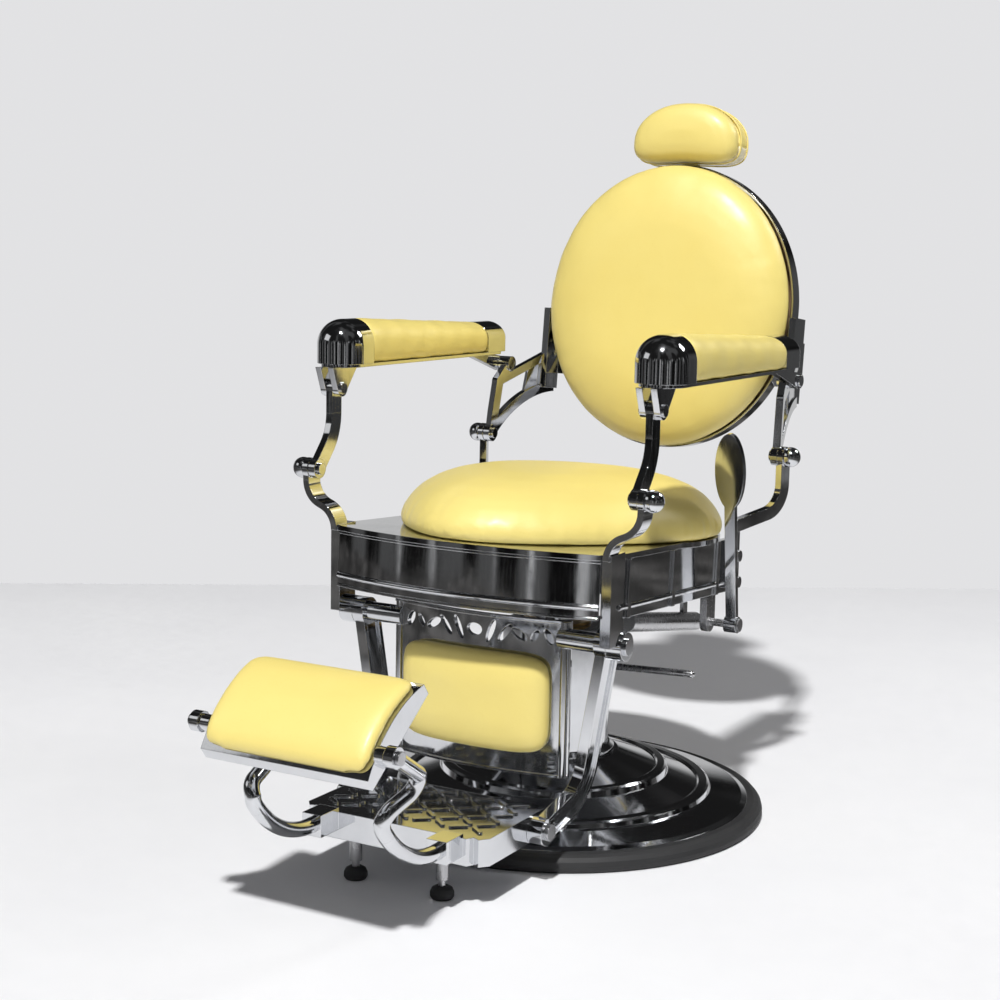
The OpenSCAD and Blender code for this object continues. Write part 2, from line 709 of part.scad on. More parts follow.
module recline_lever() color(chrome)
    translate([lever_x, lever_pin_at.x, lever_pin_at.y]) difference() {
        union() {
            rotate([0, 90, 0]) cylinder(r = lever_eye_r, h = 2 * lever_t, center = true);
            rotate([lever_tip_lean, 0, 0]) translate([0, lever_t / 2, 0]) rotate([90, 0, 0])
                linear_extrude(lever_t) {
                    translate([-lever_neck / 2, lever_eye_r / 2])
                        square([lever_neck, lever_len - paddle_l]);
                    translate([0, lever_len - paddle_l / 2]) scale([paddle_w / 2, paddle_l / 2]) circle(r = 1);
                }
        }
        rotate([0, 90, 0]) cylinder(r = lever_pin_r + fit, h = paddle_w, center = true);
    }

// Cylinder that locks the recline, hung under the seat carriage
lock_in = 66;
lock_x = frame_w / 2 - lock_in;
lock_r = 15;
lock_y = [-102, 155];
lock_drops = [59, 103];
lock_h = [for (d = lock_drops) carriage_z - d];
lock_strap = 14;
module lock_cylinder() color(steel) {
    run = lock_y[1] - lock_y[0];
    fall = lock_h[0] - lock_h[1];
    translate([lock_x, lock_y[0], lock_h[0]]) rotate([-90 - atan2(fall, run), 0, 0])
        cylinder(r = lock_r, h = norm([run, fall]));
    for (share = [0.12, 0.8]) {
        low = lock_h[0] - fall * share;
        translate([lock_x - lock_strap / 4, lock_y[0] + run * share, low])
            cube([lock_strap / 2, lock_strap, carriage_z - low]);
    }
}

// Backrest, drawn round its middle with z along the back and -y to the sitter

shell_a = back_w / 2 + shell_rim;
shell_b = back_l / 2 + shell_rim;
board_t = 13;
board_inset = 12;
cushion_rear = 36;
shell_rear = cushion_rear + board_t + skin_t;
shell_front = cushion_rear - board_t;
module in_back() translate([0, back_y, back_h]) rotate([-back_lean, 0, 0]) children();

// An ellipse of half width a and half length b, from y0 to y1
module oval(a, b, y0, y1)
    translate([0, y1, 0]) rotate([90, 0, 0]) scale([a, b, 1]) cylinder(r = 1, h = y1 - y0, $fn = 96);

module back_shell() color(chrome)
    in_back() difference() {
        oval(shell_a, shell_b, shell_front, shell_rear);
        oval(shell_a - skin_t, shell_b - skin_t, shell_front - over, shell_rear - skin_t);
    }

module back_board() color(wood)
    in_back() oval(back_w / 2 - board_inset, back_l / 2 - board_inset, cushion_rear, cushion_rear + board_t);

module back_cushion() color(vinyl)
    in_back() translate([0, cushion_rear, 0]) rotate([90, 0, 0])
        pad(back_w / 2, back_l / 2, back_crown, 2, cushion_profile_shares, sides = 56);

// A-shaped bracket: bars from the rear ball and the arm pivot to an upright plate at the shell's edge
rear_arm_pivot = rear_ball + [link_lean, link_rise];
front_arm_pivot = front_ball + [link_lean, link_rise];
bracket_plate_x = shell_a + seat_gap;
bracket_plate_t = 12;
bracket_front = 8;
bracket_proud = 2;
bracket_plate_z = [-155, -12];
bracket_run = 160;
bracket_mid = link_x + link_t / 2;
bracket_toe = atan((bracket_mid - bracket_plate_x - bracket_plate_t / 2) / bracket_run);
bracket_reach = bracket_run / cos(bracket_toe);
bracket_w = 17;
upper_bar_drop = 93;
lower_bar_drop = 156;
upper_bar_h = back_rise - upper_bar_drop;
lower_bar_h = back_rise - lower_bar_drop;
flange_t = 8;
flange_in = 72;
flange_z = [-128, -52];
pivot_x = link_x - link_lean * tan(bracket_toe) - 2 * over;
// Length of the bracket's boss at the arm pivot, which holds the arm's lug clear of the toed bars
pivot_t = 22;
arm_lug_x = pivot_x + pivot_t + gap;
arm_eye_r = 13;

// A straight bar between two points, with a round a little wider than the bar at either end
module bar_2d(p, q, w) {
    d = q - p;
    translate(p) rotate(atan2(d.y, d.x)) translate([0, -w / 2]) square([norm(d), w]);
    for (c = [p, q]) translate(c) circle(r = w / 2 + over / 2);
}

// Where the casting's upper and lower bars meet the upright plate, and where its web begins
web_share = 0.55;

module back_bracket(left) color(chrome) on_side(left) {
    lift = link_lean / cos(bracket_toe);
    fork = [lift * 0.4, link_rise * 0.75];
    foot_r = (pow(bracket_reach, 2) + pow(lower_bar_h, 2)) / (2 * lower_bar_h);
    foot_at = [bracket_reach, lower_bar_h - foot_r];
    tip = fork + ([bracket_reach, upper_bar_h] - fork) * web_share;
    difference() {
        union() {
            translate([bracket_mid, rear_ball.x, rear_ball.y]) rotate([0, 0, bracket_toe]) {
                side_plate(-bracket_plate_t / 2, bracket_plate_t) {
                    bar_2d([0, 0], fork, bracket_w);
                    bar_2d(fork, [lift, link_rise], bracket_w);
                    bar_2d(fork, [bracket_reach, upper_bar_h], bracket_w * 0.8);
                    intersection() {
                        translate(foot_at) difference() {
                            circle(r = foot_r + bracket_w / 2);
                            circle(r = foot_r - bracket_w / 2);
                        }
                        square([bracket_reach, lower_bar_h + bracket_w]);
                    }
                }
                side_plate(-bracket_plate_t / 4, bracket_plate_t / 2) difference() {
                    polygon([tip, [bracket_reach, upper_bar_h], [bracket_reach, 0], [tip.x * 0.7, 0]]);
                    translate(foot_at) circle(r = foot_r);
                }
            }
            cross_pin(link_x, rear_ball, ear_eye_r - over, link_t);
            cross_pin(pivot_x, rear_arm_pivot, arm_eye_r, pivot_t);
            in_back() {
                translate([bracket_plate_x, bracket_front, bracket_plate_z[0]])
                    cube([bracket_plate_t, shell_rear + bracket_proud - bracket_front,
                        bracket_plate_z[1] - bracket_plate_z[0]]);
                translate([bracket_plate_x + bracket_plate_t - flange_in, shell_rear, flange_z[0]])
                    cube([flange_in, flange_t, flange_z[1] - flange_z[0]]);
            }
        }
        cross_pin(0, rear_ball, pin_r + fit, frame_w);
        cross_pin(0, rear_ball, pin_r * 1.5 + gap, link_x);
        translate([link_x + link_t, 0, 0]) cube([frame_w, rear_ball.x + bracket_run, 2 * arm_h]);
        cross_pin(0, rear_arm_pivot, pin_r, frame_w);
        cross_pin(arm_lug_x - gap, rear_arm_pivot, arm_eye_r + gap, frame_w);
    }
}

screw_r = 5;
module bracket_screws() color(steel) both_sides() in_back()
    for (z = [flange_z[0] + 3 * screw_r, flange_z[1] - 3 * screw_r])
        translate([bracket_plate_x + bracket_plate_t - flange_in + 3 * screw_r, shell_rear + flange_t, z])
            rotate([-90, 0, 0]) cylinder(r = screw_r, h = screw_r * 0.8);

module arm_pivot_pins() color(chrome) both_sides() {
    cross_pin(pivot_x, rear_arm_pivot, pin_r, arm_lug_x + link_t + gap - pivot_x);
    cross_pin(arm_lug_x + link_t + gap, rear_arm_pivot, pin_r * 1.6, pin_r * 0.6);
}

// Headrest

post_half = 15;
post_thick = 8;
head_post_gap = 12;
head_post_y = shell_rear + head_post_gap;
head_post_low = 60;
socket_half = 24;
socket_z = [130, 205];
head_wall = 14;
head_rear = head_post_y + post_thick + head_wall;
head_front = head_rear - head_box;
head_bow = 10;

module headrest_socket() color(chrome)
    in_back() difference() {
        translate([-socket_half, shell_rear, socket_z[0]])
            cube([2 * socket_half, 2 * (head_post_y - shell_rear) + post_thick, socket_z[1] - socket_z[0]]);
        translate([-post_half - seat_gap, head_post_y - seat_gap, socket_z[0] - over])
            cube([2 * (post_half + seat_gap), post_thick + 2 * seat_gap, socket_z[1] - socket_z[0] + 2 * over]);
    }

module headrest_post() color(chrome)
    in_back() translate([-post_half, head_post_y, head_post_low])
        cube([2 * post_half, post_thick, head_z - head_post_low]);

head_points = [
    for (k = [0:47])
        let (p = outline(head_w / 2 - 2 * over, head_l / 2 - 2 * over, 2.6, 360 * k / 48))
        [p.x, p.y + head_bow * (1 - 2 * pow(2 * p.x / head_w, 2))],
];
module headrest_box() color(vinyl)
    in_back() difference() {
        translate([0, head_rear, head_z]) rotate([90, 0, 0]) linear_extrude(head_box) polygon(head_points);
        translate([-post_half, head_post_y, 0]) cube([2 * post_half, post_thick, head_z]);
    }

module headrest_cushion() color(vinyl)
    in_back() translate([0, head_front, head_z]) rotate([90, 0, 0]) head_pad();

// The headrest's front pad: a superellipse bent up in the middle
module head_pad() {
    sides = 48;
    rows = len(thin_profile_shares);
    bent = function (p, z) [p.x, p.y + head_bow * (1 - 2 * pow(2 * p.x / head_w, 2)), z];
    rings = [
        for (row = thin_profile_shares) for (k = [0:sides - 1])
            let (inset = row.x * head_crown)
            bent(outline(head_w / 2 - inset, head_l / 2 - inset * 0.62, 2.6, 360 * k / sides),
                row.y * head_crown),
    ];
    points = concat(rings, [bent([0, 0], 0), bent([0, 0], head_crown)]);
    top = (rows - 1) * sides;
    faces = concat(
        [
            for (j = [0:rows - 2]) for (k = [0:sides - 1])
                let (n = (k + 1) % sides, low = j * sides, high = low + sides)
                each [[low + k, high + k, high + n], [low + k, high + n, low + n]],
        ],
        [for (k = [0:sides - 1]) [rows * sides, k, (k + 1) % sides]],
        [for (k = [0:sides - 1]) [rows * sides + 1, top + (k + 1) % sides, top + k]]);
    polyhedron(points, faces, convexity = 4);
}

// Armrests

arm_r = arm_w / 2;
tray_t = 5;
tray_inset = 6;
front_lugs_x = [link_x - gap - link_t * 0.8, link_x + link_t + gap];
cap_z = arm_h + tray_t;
cap_skirt = arm_skirt - tray_t;
arm_top_h = arm_skirt + arm_r;
// Part of the pad's height that is lost towards its rear end
arm_taper_share = 0.25;
rear_cap_h = (arm_top_h - tray_t) * (1 - arm_taper_share) + over;

// A lug that tapers from its root under the tray, y0 to y1, to the eye round its pivot
module arm_lug(x, t, at, y0, y1, side_angles) side_plate(x, t) {
    translate(at) circle(r = arm_eye_r);
    polygon([
        [y0, arm_h + over], [y1, arm_h + over],
        at + arm_eye_r * unit(side_angles[1]), at + arm_eye_r * unit(side_angles[0]),
    ]);
}
front_lug_w = 66;
rear_lug_w = 52;

module arm_tray(left) color(chrome) on_side(left) {
    difference() {
        union() {
            translate([arm_x, 0, arm_h]) linear_extrude(tray_t) {
                translate([0, -arm_front + arm_r]) circle(r = arm_r - tray_inset);
                translate([-arm_r + tray_inset, -arm_front + arm_r])
                    square([arm_w - 2 * tray_inset, arm_front - arm_r + arm_rear - tray_inset]);
            }
            for (x = front_lugs_x)
                arm_lug(x, link_t * 0.8, front_arm_pivot, front_arm_pivot.x - front_lug_w * 0.4,
                    front_arm_pivot.x + front_lug_w * 0.6, [190, -10]);
            arm_lug(arm_lug_x, link_t, rear_arm_pivot, arm_rear - tray_inset - rear_lug_w,
                arm_rear - tray_inset, [260, 70]);
        }
        cross_pin(0, rear_arm_pivot, pin_r + fit, frame_w);
    }
    for (x = [front_lugs_x[0] - pin_r / 2, front_lugs_x[1] + link_t * 0.8])
        cross_pin(x, front_arm_pivot, pin_r * 1.5, pin_r / 2);
    cross_pin(front_lugs_x[0], front_arm_pivot, pin_r, front_lugs_x[1] + link_t * 0.8 - front_lugs_x[0]);
}

// The caps share one form: an upright skirt under a half round, with a domed front
module cap_form(r, skirt, y0, y1) {
    translate([0, y0 + r, 0]) cylinder(r = r, h = skirt);
    translate([-r, y0 + r, 0]) cube([2 * r, y1 - y0 - r, skirt]);
    translate([0, y0 + r, skirt]) sphere(r = r);
    translate([0, y0 + r, skirt]) rotate([-90, 0, 0]) cylinder(r = r, h = y1 - y0 - r);
}

module arm_front_cap(left) color(chrome) on_side(left)
    translate([arm_x, 0, cap_z]) difference() {
        intersection() {
            cap_form(arm_r, cap_skirt, -arm_front, -pad_front);
            translate([-arm_r, -arm_front, 0]) cube([arm_w, arm_front - pad_front, arm_top_h]);
        }
        translate([0, 0, -over])
            cap_form(arm_r - skin_t, cap_skirt + over, -arm_front + skin_t, -pad_front - skin_t);
    }

// Cross-section of the rear cap in [x, z]: a low half oval on an upright skirt
module rear_section(inset) {
    skirt = cap_skirt * 0.8;
    translate([-arm_r + inset, 0]) square([2 * (arm_r - inset), skirt]);
    intersection() {
        translate([0, skirt]) scale([arm_r - inset, rear_cap_h - skirt - inset]) circle(r = 1);
        translate([-arm_r, 0]) square([arm_w, arm_top_h]);
    }
}

module arm_rear_cap(left) color(chrome) on_side(left)
    translate([arm_x, arm_rear, cap_z]) rotate([90, 0, 0]) difference() {
        linear_extrude(arm_rear - pad_rear) rear_section(over);
        translate([0, 0, skin_t]) linear_extrude(arm_rear - pad_rear - 2 * skin_t) difference() {
            rear_section(over + skin_t);
            translate([-arm_r, -arm_w]) square([arm_w, arm_w - over]);
        }
        translate([-arm_r + skin_t + over, -over, skin_t])
            cube([2 * (arm_r - skin_t - over), 2 * over, arm_rear - pad_rear - 2 * skin_t]);
    }

module arm_pad(left) color(vinyl) on_side(left)
    translate([arm_x, (pad_rear - pad_front) / 2, cap_z])
        pad(arm_r, (pad_front + pad_rear) / 2 - seat_gap, arm_top_h - tray_t, 14, arm_profile_shares,
            end_share = 0.12, sides = 44, taper_share = arm_taper_share);

link_start = 50;
link_bend = 80;
link_w = 25;
link_run = (link_lean - link_bend * (1 - sin(link_start))) / cos(link_start);
link_steps = [
    [link_run, link_bend, 90 - link_start],
    [link_rise - link_run * sin(link_start) - link_bend * cos(link_start), 0, 0],
];
module front_link(left) color(chrome) on_side(left)
    difference() {
        union() {
            cross_pin(link_x, front_ball, ear_eye_r - over, link_t);
            cross_pin(link_x, front_arm_pivot, arm_eye_r, link_t);
            translate([link_x + link_t / 2, front_ball.x, front_ball.y]) rotate([90, 0, 90])
                rotate([0, 0, link_start]) bar(link_steps) square([link_w, link_t - over], center = true);
        }
        cross_pin(0, front_ball, pin_r + fit, frame_w);
        cross_pin(0, front_arm_pivot, pin_r + over, frame_w);
    }

// Leg rest

leg_web_t = 8;
flange_w = 7;
leg_foot_out = 15.6;
foot_bolt_share = 0.4455;
leg_bend = 60;
leg_turn = 75;
leg_back_y = 8;
leg_run = 66;
leg_eye_r = 21;
leg_boss_t = 23;
leg_mid_x = knee_eye_x + knee_eye_t / 2;
// The arms slope inward from the knee and end at the footplate's bolts
leg_foot_x = foot_w / 2 + leg_foot_out;
leg_foot_h = foot_low + foot_t * foot_bolt_share;
leg_fall = knee_h - leg_foot_h;
leg_splay = atan((leg_mid_x - leg_foot_x) / leg_fall);
leg_down = leg_fall / cos(leg_splay) + bar_end([[0, leg_bend, -leg_turn], [leg_run, 0, 0]], 270).y;
leg_steps = [[leg_down, leg_bend, -leg_turn], [leg_run, 0, 0]];
foot_r = 20;
leg_end = bar_end(leg_steps, 270);
foot_at = [-knee_y + leg_back_y + leg_end.x, knee_h + leg_end.y * cos(leg_splay)];
foot_bolt_r = 6;

module leg_section() {
    square([leg_w, leg_web_t], center = true);
    for (s = [-1, 1]) translate([s * (leg_w - flange_w) / 2, 0]) square([flange_w, leg_t], center = true);
}

module leg_arm(left) color(chrome) on_side(left)
    difference() {
        union() {
            cross_pin(knee_eye_x - knee_boss_in, knee_at, leg_eye_r, knee_eye_t + knee_boss_in);
            translate([leg_mid_x, -knee_y + leg_back_y, knee_h]) rotate([0, leg_splay, 0])
                rotate([90, 0, 90]) rotate([0, 0, -90]) bar(leg_steps) leg_section();
            cross_pin(foot_w / 2 + seat_gap, foot_at, foot_r, leg_boss_t);
        }
        cross_pin(0, knee_at, knee_pin_r + fit, frame_w);
        cross_pin(0, foot_at, foot_bolt_r, frame_w);
        translate([-frame_w, -2 * foot_front, -frame_w])
            cube([frame_w + foot_w / 2 + seat_gap, 3 * foot_front, frame_w + foot_top_h]);
    }

calf_t = 8;
calf_mid_y = -calf_y + calf_bend;
calf_half = asin(calf_w / 2 / calf_bend);
calf_mid_z = calf_low + calf_foot_h + calf_pad_l / 2;
fret_z = (calf_top_h + calf_mid_z + calf_pad_l / 2) / 2;
fret_h = fret_band_h;
post_bead_r = 6;

// Places of the fretwork's openings: [share of the half width, tilt, width share, height share]
fret_shares = [
    [0, 0, 0.25, 0.36], [0.18, 22, 0.10, 0.72], [0.33, 38, 0.10, 0.66], [0.48, -60, 0.12, 0.56],
    [0.64, 35, 0.09, 0.40], [0.78, -30, 0.12, 0.50],
];

module fret_openings()
    for (f = fret_shares) for (s = f[0] == 0 ? [1] : [-1, 1])
        rotate([0, 0, s * f[0] * calf_half]) translate([0, -calf_bend, fret_z]) rotate([0, s * f[1], 0])
            rotate([90, 0, 0]) scale([f[2] * fret_h, f[3] * fret_h / 2, 1])
                cylinder(r = 1, h = 4 * calf_t, center = true);

module calf_panel() color(chrome)
    difference() {
        union() {
            translate([0, calf_mid_y, 0]) rotate([0, 0, -90 - calf_half])
                rotate_extrude(angle = 2 * calf_half, $fn = 240) {
                    translate([calf_bend - calf_t, calf_low]) square([calf_t, calf_top_h - calf_low]);
                    for (z = [calf_low, calf_top_h - bead_r]) translate([calf_bend - calf_t, z])
                        square([calf_t + bead_r / 2, bead_r]);
                }
            both_sides() {
                translate([0, calf_mid_y, 0]) rotate([0, 0, calf_half * 0.94])
                    translate([0, -calf_bend, calf_low + over])
                        cylinder(r = post_bead_r, h = calf_top_h - calf_low - 2 * over);
                cross_pin(calf_w / 2 - 2 * calf_t, knee_at, leg_eye_r * 0.7,
                    knee_eye_x - knee_boss_in - calf_w / 2 + 2 * calf_t);
            }
        }
        translate([0, calf_mid_y, 0]) fret_openings();
    }

module calf_cushion() color(vinyl)
    translate([0, -calf_y - bow_gap, calf_mid_z]) rotate([90, 0, 0])
        pad(calf_pad_w / 2, calf_pad_l / 2, calf_crown, 7, thin_profile_shares,
            bow = [calf_bend, 0], under_shares = bow_ring_shares);

bumper_r = 7;
bumper_x = 117;
bumper_y = calf_mid_y - sqrt(pow(calf_bend - calf_t / 2, 2) - pow(bumper_x, 2));
bumper_h = 10;
module calf_bumpers() color(rubber) both_sides()
    translate([bumper_x, bumper_y, calf_top_h]) cylinder(r = bumper_r, h = bumper_h);

// Footplate outline, front half width to the rear, as shares of its half width and of its length
foot_shares = [[0.52, 0], [0.82, 0], [0.86, 0.06], [0.93, 0.03], [1, 0.10], [1, 1]];
foot_l = foot_front - foot_rear;
foot_wall = 8;
function foot_point(p, side) = [side * p.x * foot_w / 2, -foot_front + p.y * foot_l];
foot_outline = concat(
    [for (p = foot_shares) foot_point(p, 1)],
    [for (i = [len(foot_shares) - 1:-1:0]) foot_point(foot_shares[i], -1)]);
stub_w = 32;
stub_l = 42;
stub_rise = 6;
s_z = foot_top_h - stub_w / 2 + stub_rise;
s_y = -foot_front - stub_l;
tread_n = [9, 6];
tread_w = 6;
tread_l = 20;
tread_h = 2.5;
tread_turn = 38;
stem_x = 72;
stem_in = 24;
stem_y = -foot_front + stem_in;
stem_r = 9;
stem_foot_h = 18;
foot_bolt_in = 14;
s_r = s_d / 2;

// Raised bars of the tread, turned alternately to both sides
module tread() {
    pitch = [(foot_w - 4 * foot_wall) / tread_n.x, (foot_l - 4 * foot_wall) / tread_n.y];
    for (i = [0:tread_n.x - 1]) for (j = [0:tread_n.y - 1]) {
        mid = [(i - (tread_n.x - 1) / 2) * pitch.x, -foot_rear - foot_wall - (j + 0.5) * pitch.y];
        half = tread_l / 2 * unit(tread_turn * ((i + j) % 2 == 0 ? 1 : -1));
        bar_2d(mid - half, mid + half, tread_w);
    }
}

module footplate() color(chrome)
    difference() {
        union() {
            translate([0, 0, foot_low]) linear_extrude(foot_top_h - foot_low) polygon(foot_outline);
            for (s = [-1, 1]) translate([s * s_x - stub_w / 2, s_y, s_z - stub_w / 2])
                cube([stub_w, stub_l + over, stub_w]);
            translate([0, 0, foot_top_h]) linear_extrude(tread_h) tread();
        }
        translate([-foot_w / 2 + foot_wall * 2, -foot_front + foot_wall * 4, foot_low - over])
            cube([foot_w - 4 * foot_wall, foot_l - 5 * foot_wall, foot_top_h - foot_low - foot_wall + over]);
        for (s = [-1, 1]) translate([s * s_x, s_y - over, s_z])
            rotate([-90, 0, 0]) cylinder(r = s_r, h = stub_l / 2 + over);
        both_sides() cross_pin(foot_w / 2 - foot_bolt_in, foot_at, foot_bolt_r, foot_w);
        for (s = [-1, 1]) translate([s * stem_x, stem_y, foot_low - over])
            cylinder(r = stem_r, h = foot_wall + over);
    }

module foot_stems() color(steel) both_sides()
    translate([stem_x, stem_y, 0]) {
        translate([0, 0, stem_foot_h + stem_r])
            cylinder(r = stem_r, h = foot_low + foot_wall - stem_foot_h - stem_r);
        translate([0, 0, stem_foot_h]) cylinder(r = stem_r * 0.6, h = stem_r);
    }

pad_shares = [[0, 0], [0.86, 0], [1, 0.2], [1, 0.5], [0.86, 0.8], [0.5, 1], [0, 1]];
foot_pad_r = 17;
module foot_pads() color(rubber) both_sides()
    translate([stem_x, stem_y, 0]) rotate_extrude()
        polygon([for (p = pad_shares) [p.x * foot_pad_r, p.y * stem_foot_h]]);

module foot_bolts() color(steel) both_sides() {
    cross_pin(foot_w / 2 - foot_bolt_in, foot_at, foot_bolt_r, foot_bolt_in + seat_gap + leg_boss_t);
    cross_pin(foot_w / 2 + seat_gap + leg_boss_t, foot_at, foot_bolt_r * 2, foot_bolt_r);
}

// S-shaped arm: forward out of its socket and up; from there, leaning outward, back and forward to its eye
s_dip_r = 160;
s_dip_turn = 50;
s_bend_r = 22;
s_low_run = 8;
s_back_turn = 70;
s_back_run = 24;
s_fore_r = 20;
s_fore_turn = 130;
s_fore_run = 104;
s_low_steps = [[stub_l / 2, s_dip_r, -s_dip_turn], [s_low_run, s_bend_r, s_dip_turn - 90]];
s_top_steps = [[0, s_bend_r, -s_back_turn], [s_back_run, s_fore_r, s_fore_turn], [s_fore_run, 0, 0]];
s_low_end = bar_end(s_low_steps, 180);
s_top_end = bar_end(s_top_steps, 90);
s_tip = [s_y + stub_l / 2 + s_low_end.x, s_z + s_low_end.y];
rest_eye_r = 14;
rest_eye_t = 14;
rest_at = [s_tip.x + s_top_end.x, s_tip.y + s_top_end.y * cos(s_lean)];
rest_eye_x = s_x + s_top_end.y * sin(s_lean) - rest_eye_t / 2;
rest_w = 2 * (rest_eye_x - rest_side_gap);
rest_pin_r = 5;

module s_arm(left) color(chrome) on_side(left)
    difference() {
        union() {
            translate([s_x, s_y + stub_l / 2, s_z]) rotate([90, 0, 90]) rotate([0, 0, 180])
                bar(s_low_steps) circle(r = s_r, $fn = 32);
            translate([s_x, s_tip.x, s_tip.y]) sphere(r = s_r * seam_share);
            translate([s_x, s_tip.x, s_tip.y]) rotate([0, s_lean, 0]) rotate([90, 0, 90]) rotate([0, 0, 90])
                bar(s_top_steps) circle(r = s_r, $fn = 32);
            cross_pin(rest_eye_x, rest_at, rest_eye_r, rest_eye_t);
        }
        cross_pin(0, rest_at, rest_pin_r + fit, frame_w);
        cross_pin(0, rest_at, rest_eye_r, rest_eye_x);
        cross_pin(rest_eye_x + rest_eye_t, rest_at, rest_eye_r, frame_w);
    }

// Footrest pad, drawn round its pivot with y along the tray and z to the sitter's soles
rest_low = 36;
rest_drop = 8;
rest_rise = 18;
rest_half = rest_l / 2;
rest_r = (pow(rest_half, 2) + pow(rest_rise, 2)) / (2 * rest_rise);
rest_mid = rest_half - rest_low;
rest_skirt = 18;
rest_wall = 4;
rest_inset = 3;
hinge_ear_r = 11;
module at_rest_pivot() translate([0, rest_at.x, rest_at.y]) rotate([rest_tilt, 0, 0]) children();
module in_rest() at_rest_pivot() translate([0, 0, -rest_drop]) children();

// A section drawn in [y, z] and run across the tray's width
module rest_run(w) translate([-w / 2, 0, 0]) rotate([90, 0, 90]) linear_extrude(w) children();

module rest_arch(inset)
    intersection() {
        translate([rest_mid, rest_rise - rest_r]) circle(r = rest_r - inset, $fn = 180);
        translate([-rest_low + inset, -rest_skirt]) square([rest_l - 2 * inset, rest_skirt + 2 * rest_rise]);
    }

module footrest_tray() color(chrome)
    difference() {
        union() {
            in_rest() difference() {
                rest_run(rest_w) {
                    rest_arch(0);
                    translate([-rest_low, -rest_skirt]) square([rest_l, rest_skirt]);
                }
                rest_run(rest_w - 2 * rest_wall) {
                    rest_arch(rest_wall);
                    translate([-rest_low + rest_wall, -rest_skirt - over])
                        square([rest_l - 2 * rest_wall, rest_skirt + over]);
                }
            }
            at_rest_pivot() both_sides() translate([rest_w / 2 - rest_wall / 2, 0, 0]) rotate([0, 90, 0])
                cylinder(r = hinge_ear_r, h = rest_eye_x - gap - rest_w / 2 + rest_wall / 2);
        }
        at_rest_pivot() both_sides() translate([rest_w / 2 - rest_wall, 0, 0]) rotate([0, 90, 0])
            cylinder(r = rest_pin_r, h = rest_w);
    }

module footrest_cushion() color(vinyl)
    in_rest() translate([0, rest_mid, rest_rise + bow_gap])
        pad(rest_w / 2 - rest_inset, rest_half - rest_inset, rest_crown, 14, rest_profile_shares,
            bow = [0, rest_r], under_shares = bow_ring_shares);

module footrest_knobs() color(steel)
    at_rest_pivot() both_sides() {
        translate([rest_w / 2 - rest_wall, 0, 0]) rotate([0, 90, 0])
            cylinder(r = rest_pin_r, h = rest_eye_x + rest_eye_t + gap - rest_w / 2 + rest_wall);
        translate([rest_eye_x + rest_eye_t + gap, 0, 0]) rotate([0, 90, 0])
            cylinder(r = rest_pin_r * 1.8, h = rest_pin_r);
    }

base_plate();
rubber_ring();
base_cover();
column_cover();
pump_cylinder();
cylinder_bush();
base_bolts();
pump_pin();
pump_lever();
pump_ram();
swivel_hub();
seat_carriage();
side_frame(true);  // side_frame_left
side_frame(false);  // side_frame_right
front_apron();
seat_pan();
seat_cushion();
rear_post(true);  // rear_post_left
rear_post(false);  // rear_post_right
post_bolts();
ball_bolts();
knee_pins();
lever_bracket();
lock_cylinder();
recline_lever();
back_shell();
back_board();
back_cushion();
back_bracket(true);  // back_bracket_left
back_bracket(false);  // back_bracket_right
bracket_screws();
headrest_socket();
arm_pivot_pins();
headrest_post();
headrest_box();
headrest_cushion();
arm_tray(true);  // arm_tray_left
arm_pad(true);  // arm_pad_left
arm_front_cap(true);  // arm_front_cap_left
arm_rear_cap(true);  // arm_rear_cap_left
arm_tray(false);  // arm_tray_right
arm_pad(false);  // arm_pad_right
arm_front_cap(false);  // arm_front_cap_right
arm_rear_cap(false);  // arm_rear_cap_right
front_link(true);  // front_link_left
front_link(false);  // front_link_right
leg_arm(true);  // leg_arm_left
leg_arm(false);  // leg_arm_right
calf_panel();
calf_cushion();
calf_bumpers();
footplate();
foot_stems();
foot_pads();
foot_bolts();
s_arm(true);  // s_arm_left
s_arm(false);  // s_arm_right
footrest_tray();
footrest_cushion();
footrest_knobs();
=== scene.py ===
import json
import math

import bmesh
import bpy
import numpy as np
from mathutils import Matrix, Vector


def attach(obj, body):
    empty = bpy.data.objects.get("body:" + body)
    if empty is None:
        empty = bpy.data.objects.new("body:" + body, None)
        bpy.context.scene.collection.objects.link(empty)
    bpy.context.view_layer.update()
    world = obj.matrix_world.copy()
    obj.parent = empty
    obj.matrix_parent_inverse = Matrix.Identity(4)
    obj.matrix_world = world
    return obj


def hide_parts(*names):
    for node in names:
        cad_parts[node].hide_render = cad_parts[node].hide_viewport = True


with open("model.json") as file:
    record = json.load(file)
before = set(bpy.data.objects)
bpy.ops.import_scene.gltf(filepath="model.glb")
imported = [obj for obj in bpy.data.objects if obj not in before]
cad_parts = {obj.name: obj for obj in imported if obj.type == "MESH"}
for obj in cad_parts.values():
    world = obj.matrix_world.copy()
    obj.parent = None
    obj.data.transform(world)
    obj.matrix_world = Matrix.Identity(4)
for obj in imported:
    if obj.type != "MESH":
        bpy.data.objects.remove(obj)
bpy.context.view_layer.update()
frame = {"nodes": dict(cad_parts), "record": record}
scene = bpy.context.scene
collection = scene.collection


# Sizes and leans that the part's source has under the same names, in metres and degrees

seat_pitch = 3.5
back_lean = 6.0
rest_tilt = 37.0
frame_front = 0.292
rim_h = 0.472
seat_y = 0.017
back_y = 0.372
back_h = 0.793
cushion_rear = 0.036
head_z = 0.294
head_l = 0.104
head_rear = 0.086
head_box = 0.035
head_bow = 0.010

# What follows from them, and how the headrest's outline is drawn

head_front = head_rear - head_box
head_power = 2.6
inset_share = 0.62
up = Vector((0, 0, 1))
rearward = Vector((0, 1, 0))


def turn(angle):
    """The matrix of a turn about X, in degrees."""
    return Matrix.Rotation(math.radians(angle), 3, "X")


